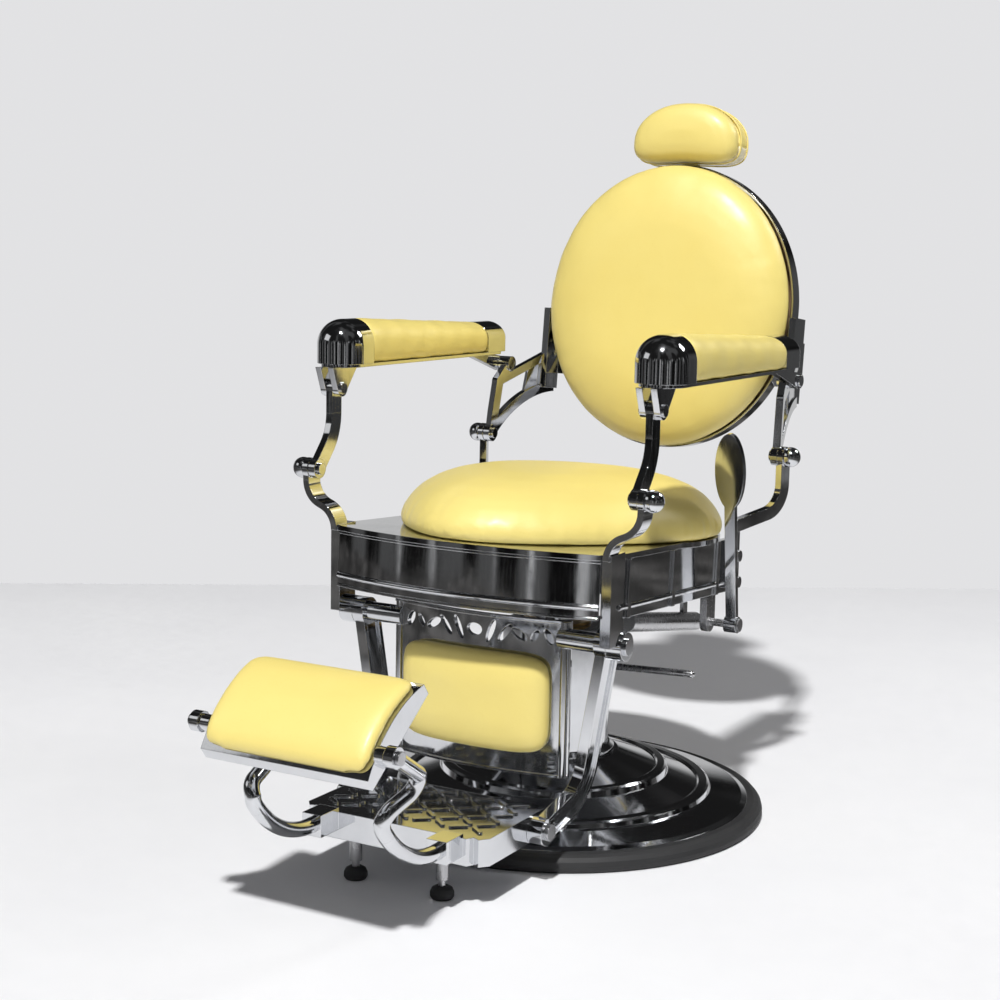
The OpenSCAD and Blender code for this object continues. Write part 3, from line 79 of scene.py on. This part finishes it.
def box_of(node):
    """The lowest and the highest corner of a CAD node."""
    corners = frame["nodes"][node].bound_box
    return Vector(corners[0]), Vector(corners[6])


seat_turn = turn(-seat_pitch)
back_turn = turn(-back_lean)
rest_turn = turn(rest_tilt)
seat_front = Vector((0, -frame_front, rim_h))
back_at = Vector((0, back_y, back_h))
head_half_w = box_of("headrest_cushion")[1].x


# Materials

metal_edge = 0.0014
matt_edge = 0.001
spot_dullness = 0.25


class Nodes:
    """Adds nodes to a tree and links them. A value is a number or another node's output."""

    def __init__(self, tree):
        self.tree = tree
        tree.nodes.clear()

    def add(self, kind, **props):
        node = self.tree.nodes.new(kind)
        for key, value in props.items():
            setattr(node, key, value)
        return node

    def link(self, a, b):
        self.tree.links.new(a, b)

    def feed(self, node, values):
        """Sets or links a node's inputs: values has a number, a colour or an output for each index."""
        for i, value in values.items():
            if isinstance(value, (int, float)):
                node.inputs[i].default_value = value
            elif isinstance(value, tuple):
                node.inputs[i].default_value = (*value, 1.0)
            else:
                self.link(value, node.inputs[i])

    def stretched(self, vector, scale):
        node = self.add("ShaderNodeMapping")
        node.inputs["Scale"].default_value = scale
        self.link(vector, node.inputs[0])
        return node.outputs[0]

    def span(self, value, low, high, to_low=0.0, to_high=1.0, kind="LINEAR"):
        """Maps the range from low to high onto the range from to_low to to_high."""
        node = self.add("ShaderNodeMapRange", interpolation_type=kind)
        self.feed(node, {0: value, 1: low, 2: high, 3: to_low, 4: to_high})
        return node.outputs[0]

    def ease(self, value, low, high, to_low=0.0, to_high=1.0):
        """As span, with soft ends."""
        return self.span(value, low, high, to_low, to_high, "SMOOTHSTEP")

    def math(self, operation, a, b):
        node = self.add("ShaderNodeMath", operation=operation)
        self.feed(node, {0: a, 1: b})
        return node.outputs[0]


class Look(Nodes):
    """A node material that is built up step by step in the object's own coordinates, in metres."""

    def __init__(self, name):
        self.mat = bpy.data.materials.new(name)
        self.mat.use_nodes = True
        super().__init__(self.mat.node_tree)
        out = self.add("ShaderNodeOutputMaterial")
        self.bsdf = self.add("ShaderNodeBsdfPrincipled")
        self.link(self.bsdf.outputs[0], out.inputs[0])
        self.coord = self.add("ShaderNodeTexCoord").outputs["Object"]

    def set(self, **values):
        for key, value in values.items():
            self.bsdf.inputs[key.replace("_", " ")].default_value = value

    def use(self, name, value):
        self.link(value, self.bsdf.inputs[name])

    def noise(self, scale, detail, rough, vector=None):
        node = self.add("ShaderNodeTexNoise")
        node.inputs["Scale"].default_value = scale
        node.inputs["Detail"].default_value = detail
        node.inputs["Roughness"].default_value = rough
        self.link(vector or self.coord, node.inputs["Vector"])
        return node.outputs[0]

    def cell_edges(self, scale):
        node = self.add("ShaderNodeTexVoronoi", feature="DISTANCE_TO_EDGE")
        node.inputs["Scale"].default_value = scale
        self.link(self.coord, node.inputs["Vector"])
        return node.outputs["Distance"]

    def mix(self, factor, a, b):
        node = self.add("ShaderNodeMix", data_type="RGBA")
        self.feed(node, {0: factor, 6: a, 7: b})
        return node.outputs[2]

    def bump(self, height, distance, strength, normal=None):
        node = self.add("ShaderNodeBump")
        node.inputs["Strength"].default_value = strength
        node.inputs["Distance"].default_value = distance
        self.link(height, node.inputs["Height"])
        if normal is not None:
            self.link(normal, node.inputs["Normal"])
        return node.outputs[0]

    def round_edges(self, radius):
        node = self.add("ShaderNodeBevel", samples=4)
        node.inputs["Radius"].default_value = radius
        return node.outputs[0]


def metal(name, light, dark, rough, wave=0.0001):
    """Polished or plated metal: slightly wavy, with smudges, hairlines and a few dull spots."""
    m = Look(name)
    m.set(Metallic=1.0)
    smudge = m.noise(9.0, 5.0, 0.6)
    spot = m.span(m.noise(70.0, 4.0, 0.7), 0.62, 0.74)
    m.use("Base Color", m.mix(m.span(smudge, 0.35, 0.7), light, dark))
    hair = m.noise(260.0, 2.0, 0.5, m.stretched(m.coord, (1.0, 1.0, 0.06)))
    smudged = m.span(smudge, 0.3, 0.75, rough[0], rough[1])
    spotted = m.math("ADD", smudged, m.math("MULTIPLY", spot, spot_dullness * rough[1]))
    m.use("Roughness", m.math("ADD", spotted, m.span(hair, 0.45, 0.8, 0.0, 0.05)))
    waves = m.bump(m.noise(22.0, 2.0, 0.4), wave, 1.0, m.round_edges(metal_edge))
    m.use("Normal", m.bump(hair, 0.00001, 0.6, waves))
    return m.mat


def vinyl_look(name, light, mid, dark):
    """Upholstery vinyl: fine grain, soft undulation, slight shade changes and a low gloss."""
    m = Look(name)
    m.set(Specular_IOR_Level=0.5, Coat_Weight=0.35, Coat_Roughness=0.30)
    shade = m.noise(5.0, 4.0, 0.6)
    fleck = m.noise(420.0, 3.0, 0.6)
    base = m.mix(m.span(shade, 0.35, 0.7), light, mid)
    m.use("Base Color", m.mix(m.span(fleck, 0.60, 0.80, 0.0, 0.5), base, dark))
    shaded = m.span(shade, 0.3, 0.7, 0.34, 0.44)
    m.use("Roughness", m.math("ADD", shaded, m.span(fleck, 0.4, 0.7, 0.0, 0.06)))
    pores = m.bump(m.span(m.cell_edges(1150.0), 0.0, 0.25), 0.00012, 0.55)
    m.use("Normal", m.bump(m.noise(38.0, 3.0, 0.5), 0.0012, 0.35, pores))
    return m.mat


def matt(name, light, dark, rough, scale, height, grain_scale=900.0):
    """A dull surface with a cloudy tone and fine grain of a height in metres."""
    m = Look(name)
    tone = m.noise(scale, 5.0, 0.65)
    grain = m.noise(grain_scale, 2.0, 0.6)
    m.use("Base Color", m.mix(m.span(tone, 0.3, 0.72), light, dark))
    m.use("Roughness", m.span(tone, 0.3, 0.7, rough[0], rough[1]))
    m.use("Normal", m.bump(grain, height, 0.6, m.round_edges(matt_edge)))
    return m.mat


def wood_look(name):
    """Plywood with its grain drawn out along Z."""
    m = Look(name)
    ply = m.noise(60.0, 6.0, 0.6, m.stretched(m.coord, (1.0, 1.0, 0.08)))
    m.use("Base Color", m.mix(m.span(ply, 0.3, 0.75), (0.56, 0.36, 0.19), (0.36, 0.21, 0.10)))
    m.use("Roughness", m.span(ply, 0.3, 0.7, 0.5, 0.7))
    m.use("Normal", m.bump(ply, 0.0004, 0.5))
    return m.mat


looks = {
    "chrome": metal("chrome", (0.72, 0.73, 0.75), (0.62, 0.63, 0.65), (0.035, 0.11), wave=0.00012),
    "steel": metal("steel", (0.52, 0.52, 0.53), (0.42, 0.42, 0.43), (0.20, 0.34)),
    "brass": metal("brass", (0.62, 0.42, 0.16), (0.48, 0.31, 0.11), (0.22, 0.36)),
    "iron": matt("iron", (0.060, 0.062, 0.066), (0.035, 0.036, 0.040), (0.38, 0.52), 14.0, 0.0004, 260.0),
    "rubber": matt("rubber", (0.016, 0.016, 0.017), (0.026, 0.026, 0.027), (0.55, 0.72), 20.0, 0.00015),
    "vinyl": vinyl_look("vinyl", (0.885, 0.735, 0.235), (0.865, 0.705, 0.21), (0.79, 0.61, 0.16)),
    "wood": wood_look("plywood"),
}
pale_vinyl = vinyl_look("pale_vinyl", (0.93, 0.86, 0.62), (0.90, 0.82, 0.56), (0.86, 0.77, 0.50))

slots = {s["node"]: s["material_slot"] for s in frame["record"]["subparts"]}
for name, obj in frame["nodes"].items():
    if not obj.material_slots:
        obj.data.materials.append(None)
    for s in obj.material_slots:
        s.material = looks[slots[name]]


# Meshes

same_place = 1e-6


def to_object(name, mesh, *materials):
    obj = bpy.data.objects.new(name, mesh)
    collection.objects.link(obj)
    dress(obj, *materials)
    return obj


def dress(obj, *materials):
    obj.data.materials.clear()
    for material in materials:
        obj.data.materials.append(material)
    obj.data.shade_smooth()


def evaluated(obj):
    """A copy of an object's mesh with its modifiers applied."""
    graph = bpy.context.evaluated_depsgraph_get()
    graph.update()
    return bpy.data.meshes.new_from_object(obj.evaluated_get(graph), depsgraph=graph)


def swap(obj, mesh):
    """Gives an object another mesh and takes its modifiers away."""
    old = obj.data
    obj.modifiers.clear()
    obj.data = mesh
    bpy.data.meshes.remove(old)


def modify(obj, kind, **props):
    """Adds one modifier and applies it."""
    m = obj.modifiers.new(kind.lower(), kind)
    for key, value in props.items():
        setattr(m, key, value)
    swap(obj, evaluated(obj))


def relax(obj, times):
    modify(obj, "SMOOTH", factor=0.5, iterations=times)


def subdivide(obj):
    modify(obj, "SUBSURF", levels=1, render_levels=1)


def weld(mesh):
    """Joins the points of a mesh that share a place."""
    bm = bmesh.new()
    bm.from_mesh(mesh)
    bmesh.ops.remove_doubles(bm, verts=bm.verts, dist=same_place)
    bm.to_mesh(mesh)
    bm.free()


def coords(mesh):
    co = np.empty(len(mesh.vertices) * 3, dtype=np.float64)
    mesh.vertices.foreach_get("co", co)
    return co.reshape(-1, 3)


def set_coords(mesh, co):
    mesh.vertices.foreach_set("co", co.astype(np.float32).ravel())
    mesh.update()


def point_normals(mesh):
    return np.array([v.normal for v in mesh.vertices])


def push(obj, amount):
    """Moves each point of an object out along its normal by its own amount."""
    set_coords(obj.data, coords(obj.data) + point_normals(obj.data) * amount[:, None])


def spread(mesh, values, times):
    """Vectors at a mesh's points, each averaged with its neighbours' a number of times."""
    edges = np.empty(len(mesh.edges) * 2, dtype=np.int64)
    mesh.edges.foreach_get("vertices", edges)
    edges = edges.reshape(-1, 2)
    count = np.zeros(len(values))
    np.add.at(count, edges.ravel(), 1.0)
    for _ in range(times):
        total = np.zeros_like(values)
        np.add.at(total, edges[:, 0], values[edges[:, 1]])
        np.add.at(total, edges[:, 1], values[edges[:, 0]])
        values = 0.5 * values + 0.5 * total / count[:, None]
    return values


def local_coords(obj, centre, axes):
    return (coords(obj.data) - np.array(centre)) @ np.array(axes)


def ring_mesh(name, rings, closed_ends=True):
    """Vinyl quads between rings of points, each ring closed, with a fan at either end."""
    bm = bmesh.new()
    rows = [[bm.verts.new(p) for p in ring] for ring in rings]
    n = len(rows[0])
    for a, b in zip(rows, rows[1:]):
        for k in range(n):
            bm.faces.new((a[k], a[(k + 1) % n], b[(k + 1) % n], b[k]))
    if closed_ends:
        for row, flip in ((rows[0], True), (rows[-1], False)):
            middle = bm.verts.new(sum((v.co for v in row), Vector()) / n)
            for k in range(n):
                tri = (row[k], row[(k + 1) % n], middle)
                bm.faces.new(tri[::-1] if flip else tri)
    bmesh.ops.recalc_face_normals(bm, faces=bm.faces)
    mesh = bpy.data.meshes.new(name)
    bm.to_mesh(mesh)
    bm.free()
    return to_object(name, mesh, looks["vinyl"])


# Cushions: copies of the CAD solids, filled with air by a cloth simulation and pulled tight again

air_pressure = 4.0
sim_frames = 20
held_slope = 0.55
kept_swelling = 0.4
kept_folds = 0.10
fold_rounds = 60


def inflate(obj, rear, cap, full):
    """Cloth with air pressure, its rear face held, and no point further than cap from where it started.

    The cover is stretched tight over the foam. So it is pulled back to the shape full, and only a
    share of the broad swelling and a smaller share of the folds stay.
    """
    start = coords(obj.data)
    held = np.nonzero(point_normals(obj.data) @ rear > held_slope)[0]
    group = obj.vertex_groups.new(name="held")
    group.add([int(i) for i in held], 1.0, "REPLACE")
    cloth = obj.modifiers.new("cloth", "CLOTH")
    s = cloth.settings
    s.vertex_group_mass = group.name
    s.use_pressure = True
    s.uniform_pressure_force = air_pressure
    s.tension_stiffness = s.compression_stiffness = 18
    s.bending_stiffness = 2.0
    s.quality = 4
    s.effector_weights.gravity = 0.0
    cloth.point_cache.frame_start, cloth.point_cache.frame_end = 1, sim_frames
    for f in range(1, sim_frames + 1):
        scene.frame_set(f)
    made = evaluated(obj)
    move = coords(made) - start
    length = np.linalg.norm(move, axis=1, keepdims=True)
    move *= np.minimum(1.0, cap / np.maximum(length, same_place))
    swap(obj, made)
    change = start + move - full
    broad = spread(obj.data, change, fold_rounds)
    set_coords(obj.data, full + kept_swelling * broad + kept_folds * (change - broad))
    scene.frame_set(1)


def cover(name, node, voxel):
    """A copy of a CAD solid with even faces, its edges rounded a little."""
    mesh = frame["nodes"][node].data.copy()
    weld(mesh)
    obj = to_object(name, mesh, looks["vinyl"])
    modify(obj, "REMESH", mode="VOXEL", voxel_size=voxel)
    relax(obj, times=6)
    return obj


def cushion(name, node, rear, voxel, shrink, cap):
    """A cover that is slimmed all over but for its rear face, and then filled with air."""
    obj = cover(name, node, voxel)
    full = coords(obj.data)
    rear = np.array(tuple(rear))
    push(obj, -shrink * (1.0 - np.clip(point_normals(obj.data) @ rear, 0.0, 1.0)))
    inflate(obj, rear, cap, full)
    relax(obj, times=3)
    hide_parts(node)
    return obj


def finish_soft(obj, body):
    subdivide(obj)
    dress(obj, looks["vinyl"])
    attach(obj, body)


def puckers(obj, centre, axes, low, high, depth, count):
    """Small gathers where the cover is pulled in under the edge of a round cushion."""
    local = local_coords(obj, centre, axes)
    angle = np.arctan2(local[:, 1], local[:, 0])
    height = np.clip((high - local[:, 2]) / (high - low), 0.0, 1.0)
    wave = (np.sin(angle * count) + 0.7 * np.sin(angle * (count * 1.618) + 1.3)
            + 0.5 * np.sin(angle * (count * 0.37) + 0.4))
    gate = 0.35 + 0.65 * np.clip(np.sin(angle * 3 + 2.1) + np.sin(angle * 5 + 0.5), 0.0, 1.0)
    push(obj, depth * np.sin(height * math.pi) * wave * gate)


def swell(obj, centre, axes, low, high, share):
    """The cover rolls out over the rim: wider by nothing at low and by the share from high on, in front."""
    local = local_coords(obj, centre, axes)
    ease = np.clip((-local[:, 1] - low) / (high - low), 0.0, 1.0)
    ease = ease * ease * (3 - 2 * ease)
    local[:, 0] *= 1 + share * ease
    local[:, 2] *= 1 + share * ease
    set_coords(obj.data, local @ np.array(axes).T + np.array(centre))


seat = cushion("seat_pad", "seat_cushion", -(seat_turn @ up), voxel=0.006, shrink=0.008, cap=0.013)
back = cushion("back_pad", "back_cushion", back_turn @ rearward, voxel=0.006, shrink=0.008, cap=0.013)
head = cushion("head_pad", "headrest_cushion", back_turn @ rearward, voxel=0.004, shrink=0.004, cap=0.007)
calf = cushion("calf_pad", "calf_cushion", rearward, voxel=0.004, shrink=0.003, cap=0.005)
sole = cushion("sole_pad", "footrest_cushion", -(rest_turn @ up), voxel=0.0045, shrink=0.002, cap=0.003)

finish_soft(seat, "seat")
seat_centre = seat_front + seat_turn @ Vector((0, frame_front + seat_y, 0))
puckers(seat, seat_centre, seat_turn, low=0.0, high=0.034, depth=0.0007, count=46)
finish_soft(back, "backrest")
back_rim = back_at + back_turn @ Vector((0, cushion_rear, 0))
swell(back, back_rim, back_turn, low=0.014, high=0.028, share=0.02)
finish_soft(head, "headrest")
finish_soft(calf, "leg_rest")
finish_soft(sole, "footrest")


# Headrest: a gusseted box behind the front pad, its side band sewn from a yellow and a paler piece

seam_drop = 0.012
seam_depth = 0.0012
seam_edge = 0.0005
rear_hem = 0.006
corner_crowding = 0.35
ring_points = 120
welt_sides = 8


def outline(a, b, power, t):
    """A point of a rounded oblong, with the points closer together at the corners."""
    c, d = abs(math.cos(t)), abs(math.sin(t))
    u = c + corner_crowding * (c ** (2 / power) - c)
    v = d + corner_crowding * (d ** (2 / power) - d)
    r = (u ** power + v ** power) ** (-1 / power)
    return math.copysign(a * r * u, math.cos(t)), math.copysign(b * r * v, math.sin(t))


def head_ring(y, inset):
    """The headrest's outline, drawn in by an inset, at a depth y behind the back's own place."""
    ring = []
    for k in range(ring_points):
        x, z = outline(head_half_w - inset, head_l / 2 - inset * inset_share,
                       head_power, 2 * math.pi * k / ring_points)
        bow = head_bow * (1 - 2 * (x / head_half_w) ** 2)
        ring.append(back_at + back_turn @ Vector((x, y, head_z + z + bow)))
    return ring


def welt(name, points, radius):
    """A thin round cord of mesh along a closed row of points, which rides with the headrest."""
    # any direction that the cord never runs in
    off_course = Vector((0.13, 0.31, 0.94))
    turns = [2 * math.pi * k / welt_sides for k in range(welt_sides)]
    rings = []
    for i, point in enumerate(points):
        along = (points[(i + 1) % len(points)] - points[i - 1]).normalized()
        side = along.cross(off_course).normalized()
        other = along.cross(side)
        rings.append([point + radius * (math.cos(t) * side + math.sin(t) * other) for t in turns])
    obj = ring_mesh(name, rings + rings[:1], closed_ends=False)
    weld(obj.data)
    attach(obj, "headrest")


def crease(obj, column, at, width):
    """Draws a headrest piece in along a sewn line, at a place on one of the back's own axes."""
    off_line = local_coords(obj, back_at, back_turn)[:, column] - at
    push(obj, -seam_depth * np.exp(-(off_line / width) ** 2))


seam_z = head_z - seam_drop
box = cover("headrest_side", "headrest_box", 0.003)
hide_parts("headrest_box")
relax(box, times=4)
subdivide(box)
crease(box, 2, seam_z, width=0.0016)
crease(box, 1, head_front + 0.0015, width=0.0014)
dress(box, looks["vinyl"], pale_vinyl)
for face in box.data.polygons:
    at = back_turn.inverted() @ (face.center - back_at)
    face.material_index = 1 if at.z < seam_z - seam_edge and at.y < head_rear - rear_hem else 0
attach(box, "headrest")
welt("headrest_welt", head_ring(head_front + 0.0006, inset=0.0009), radius=0.0013)
welt("headrest_rear_welt", head_ring(head_rear - 0.0034, inset=0.0012), radius=0.0014)


# Arm pads: a half round on upright sides that falls to the rear, with covers turned in at the ends

pad_top = 0.777
pad_fall = 0.25
pad_shoulder = 0.46
pad_hem = 0.0022
pad_draw = 0.0008
pad_draw_reach = 0.011
pad_waist = 0.035
pad_sag = 0.0007


def arm_pad(side, node):
    """The cover of one armrest's pad, as rings of points from the front to the rear."""
    low, high = box_of(node)
    middle, half = (low.x + high.x) / 2, (high.x - low.x) / 2
    length = high.y - low.y
    rings = []
    steps, sides = 64, 72
    for i in range(steps + 1):
        v = 0.5 - 0.5 * math.cos(math.pi * i / steps)
        y = low.y + length * v
        end = min(v, 1 - v) * length
        tuck = pad_hem * math.exp(-(end / pad_hem) ** 2) + pad_draw * math.exp(-(end / pad_draw_reach) ** 2)
        height = (pad_top - low.z) * (1 - pad_fall * v)
        ring = []
        for k in range(sides):
            t = 2 * math.pi * k / sides
            c, s = math.cos(t), math.sin(t)
            width = (half - tuck) * (1 - pad_waist * math.exp(-((s + 0.95) / 0.18) ** 2))
            if s >= 0:
                x = width * math.copysign(abs(c) ** 0.86, c)
                z = height * (pad_shoulder + (1 - pad_shoulder) * s ** 0.92) - tuck
            else:
                x = width * math.copysign(abs(c) ** 0.22, c)
                z = height * pad_shoulder * (1 - abs(s) ** 0.9)
            sag = pad_sag * math.sin(y * 90 + x * 60) * math.sin(t * 2 + y * 25)
            ring.append((middle + side * (x + sag * c), y, low.z + max(z + sag * s, 0.0)))
        rings.append(ring if side > 0 else ring[::-1])
    return rings


for side, word in ((1, "left"), (-1, "right")):
    pad = ring_mesh("arm_pad_cover_" + word, arm_pad(side, "arm_pad_" + word))
    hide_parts("arm_pad_" + word)
    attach(pad, "armrest_" + word)


# The view, in metres and degrees, with the lens in millimetres: it also sets how floor and room lie

azimuth = math.radians(29.56)
roll = math.radians(1.12)
eye = Vector((1.30804, -2.49965, 0.90902))
aim = Vector((-0.05028, -0.10457, 0.50287))
lens = 64.8
sensor = 36.0
ahead = Vector((-math.sin(azimuth), math.cos(azimuth), 0))
across = Vector((math.cos(azimuth), math.sin(azimuth), 0))


# Floor: its far edge is the line where the photographed floor meets the wall

floor_drop = 0.0004
wall_left = Vector((-2.039, 0.812, 0))
wall_right = Vector((0.145, 2.262, 0))
wall_more = 3.0
floor_behind_eye = 1.0
floor_half_width = 4.5


def floor_material():
    m = Look("floor")
    blotch = m.noise(1.6, 6.0, 0.65)
    speck = m.noise(30.0, 4.0, 0.7)
    pale = m.mix(m.span(blotch, 0.3, 0.75), (0.87, 0.87, 0.88), (0.82, 0.82, 0.835))
    # painted reflection: for glossy rays the floor's colour stays pale only near the chair and turns a
    # cloudy painted dark further off, so metal reflects a painted dark studio there
    distance = m.add("ShaderNodeVectorMath", operation="LENGTH")
    m.link(m.coord, distance.inputs[0])
    away = m.span(distance.outputs["Value"], 0.95, 1.45)
    mirror_ray = m.add("ShaderNodeLightPath").outputs["Is Glossy Ray"]
    painted_reflection_cloud = m.noise(5.0, 1.0, 0.5)
    # painted reflection: the near-black, cloudy colour that glossy rays see on the floor further off
    dark = m.mix(m.span(painted_reflection_cloud, 0.46, 0.60), (0.010, 0.009, 0.008), (0.11, 0.105, 0.10))
    m.use("Base Color", m.mix(m.math("MULTIPLY", away, mirror_ray), pale, dark))
    m.use("Roughness", m.span(speck, 0.3, 0.7, 0.55, 0.75))
    m.use("Normal", m.bump(speck, 0.0006, 0.4))
    return m.mat


along_wall = (wall_right - wall_left).normalized()
near = Vector((eye.x, eye.y, 0)) - ahead * floor_behind_eye
floor_corners = (near - across * floor_half_width, near + across * floor_half_width,
                 wall_right + along_wall * wall_more, wall_left - along_wall * wall_more)
floor_mesh = bpy.data.meshes.new("floor")
floor_mesh.from_pydata([tuple(p - floor_drop * up) for p in floor_corners], [], [(0, 1, 2, 3)])
floor = to_object("floor", floor_mesh, floor_material())


# Room: a plain wall for the camera, an even fill for the light, and a studio for glossy reflections

class Room(Nodes):
    """The world's nodes, by the direction of a ray."""

    def __init__(self):
        scene.world = bpy.data.worlds.new("studio")
        scene.world.use_nodes = True
        super().__init__(scene.world.node_tree)
        self.out = self.add("ShaderNodeOutputWorld")
        self.direction = self.add("ShaderNodeTexCoord").outputs["Generated"]

    def mix(self, factor, a, b):
        node = self.add("ShaderNodeMix", data_type="FLOAT")
        self.feed(node, {0: factor, 2: a, 3: b})
        return node.outputs[0]

    def bands(self, scale, low, high, dark, light):
        """Upright bands of light and dark round the room."""
        noise = self.add("ShaderNodeTexNoise")
        noise.inputs["Scale"].default_value = scale
        noise.inputs["Detail"].default_value = 1.0
        self.link(self.stretched(self.direction, (1.0, 1.0, 0.07)), noise.inputs["Vector"])
        return self.ease(noise.outputs[0], low, high, dark, light)

    def background(self, colour):
        node = self.add("ShaderNodeBackground")
        self.feed(node, {0: colour})
        return node.outputs[0]

    def choose(self, ray, other, own):
        """One shader for rays of a kind, and another for all others."""
        node = self.add("ShaderNodeMixShader")
        is_ray = self.add("ShaderNodeLightPath").outputs[ray]
        self.feed(node, {0: is_ray, 1: other, 2: own})
        return node.outputs[0]


room = Room()
split = room.add("ShaderNodeSeparateXYZ")
room.link(room.direction, split.inputs[0])
rise = split.outputs[2]
facing = room.add("ShaderNodeVectorMath", operation="DOT_PRODUCT")
facing.inputs[1].default_value = tuple(ahead)
room.link(room.direction, facing.inputs[0])

# what reflections show: a dark studio with pale strips at the chair's height, the floor and the wall
wall_light = 0.55
floor_light = 0.30
strips = room.math("ADD", room.bands(6.5, 0.47, 0.60, 0.004, 0.085),
                   room.bands(11.0, 0.62, 0.70, 0.0, 0.45))
low_part = room.mix(room.ease(rise, -0.45, -0.12), floor_light, strips)
studio = room.mix(room.ease(rise, 0.16, 0.34), low_part, room.bands(2.2, 0.50, 0.66, 0.012, 0.07))
on_wall = room.math("MULTIPLY", room.ease(facing.outputs["Value"], 0.62, 0.86),
                    room.ease(rise, 0.06, 0.22, 1.0, 0.0))
glossy = room.background(room.mix(on_wall, studio, wall_light))
plain_wall = room.background((0.762, 0.762, 0.775))
fill = room.background((0.125, 0.125, 0.13))
lit = room.choose("Is Glossy Ray", fill, glossy)
room.link(room.choose("Is Camera Ray", lit, plain_wall), room.out.inputs[0])


# Lamps and camera

def lamp(name, at, to, size, watts):
    data = bpy.data.lights.new(name, "AREA")
    data.shape, data.size, data.size_y, data.energy = "RECTANGLE", size[0], size[1], watts
    obj = bpy.data.objects.new(name, data)
    collection.objects.link(obj)
    obj.location = at
    obj.rotation_mode = "QUATERNION"
    obj.rotation_quaternion = (Vector(to) - Vector(at)).to_track_quat("-Z", "Y")


lamp("key", (2.40, -6.80, 11.18), (0, -0.1, 0.3), (0.64, 0.64), 1830)
lamp("side", (-2.4, -2.2, 2.0), (0, -0.1, 0.5), (1.5, 1.1), 4)
lamp("rear", (1.6, 1.9, 2.4), (0, 0.1, 0.6), (0.8, 0.8), 18)

camera = bpy.data.objects.new("camera", bpy.data.cameras.new("camera"))
collection.objects.link(camera)
camera.data.lens, camera.data.sensor_width = lens, sensor
camera.data.clip_start, camera.data.clip_end = 0.05, 60
camera.location = eye
camera.rotation_mode = "QUATERNION"
tilt = Matrix.Rotation(roll, 3, "Z").to_quaternion()
camera.rotation_quaternion = (aim - eye).normalized().to_track_quat("-Z", "Y") @ tilt
scene.camera = camera
scene.view_settings.view_transform = "Standard"
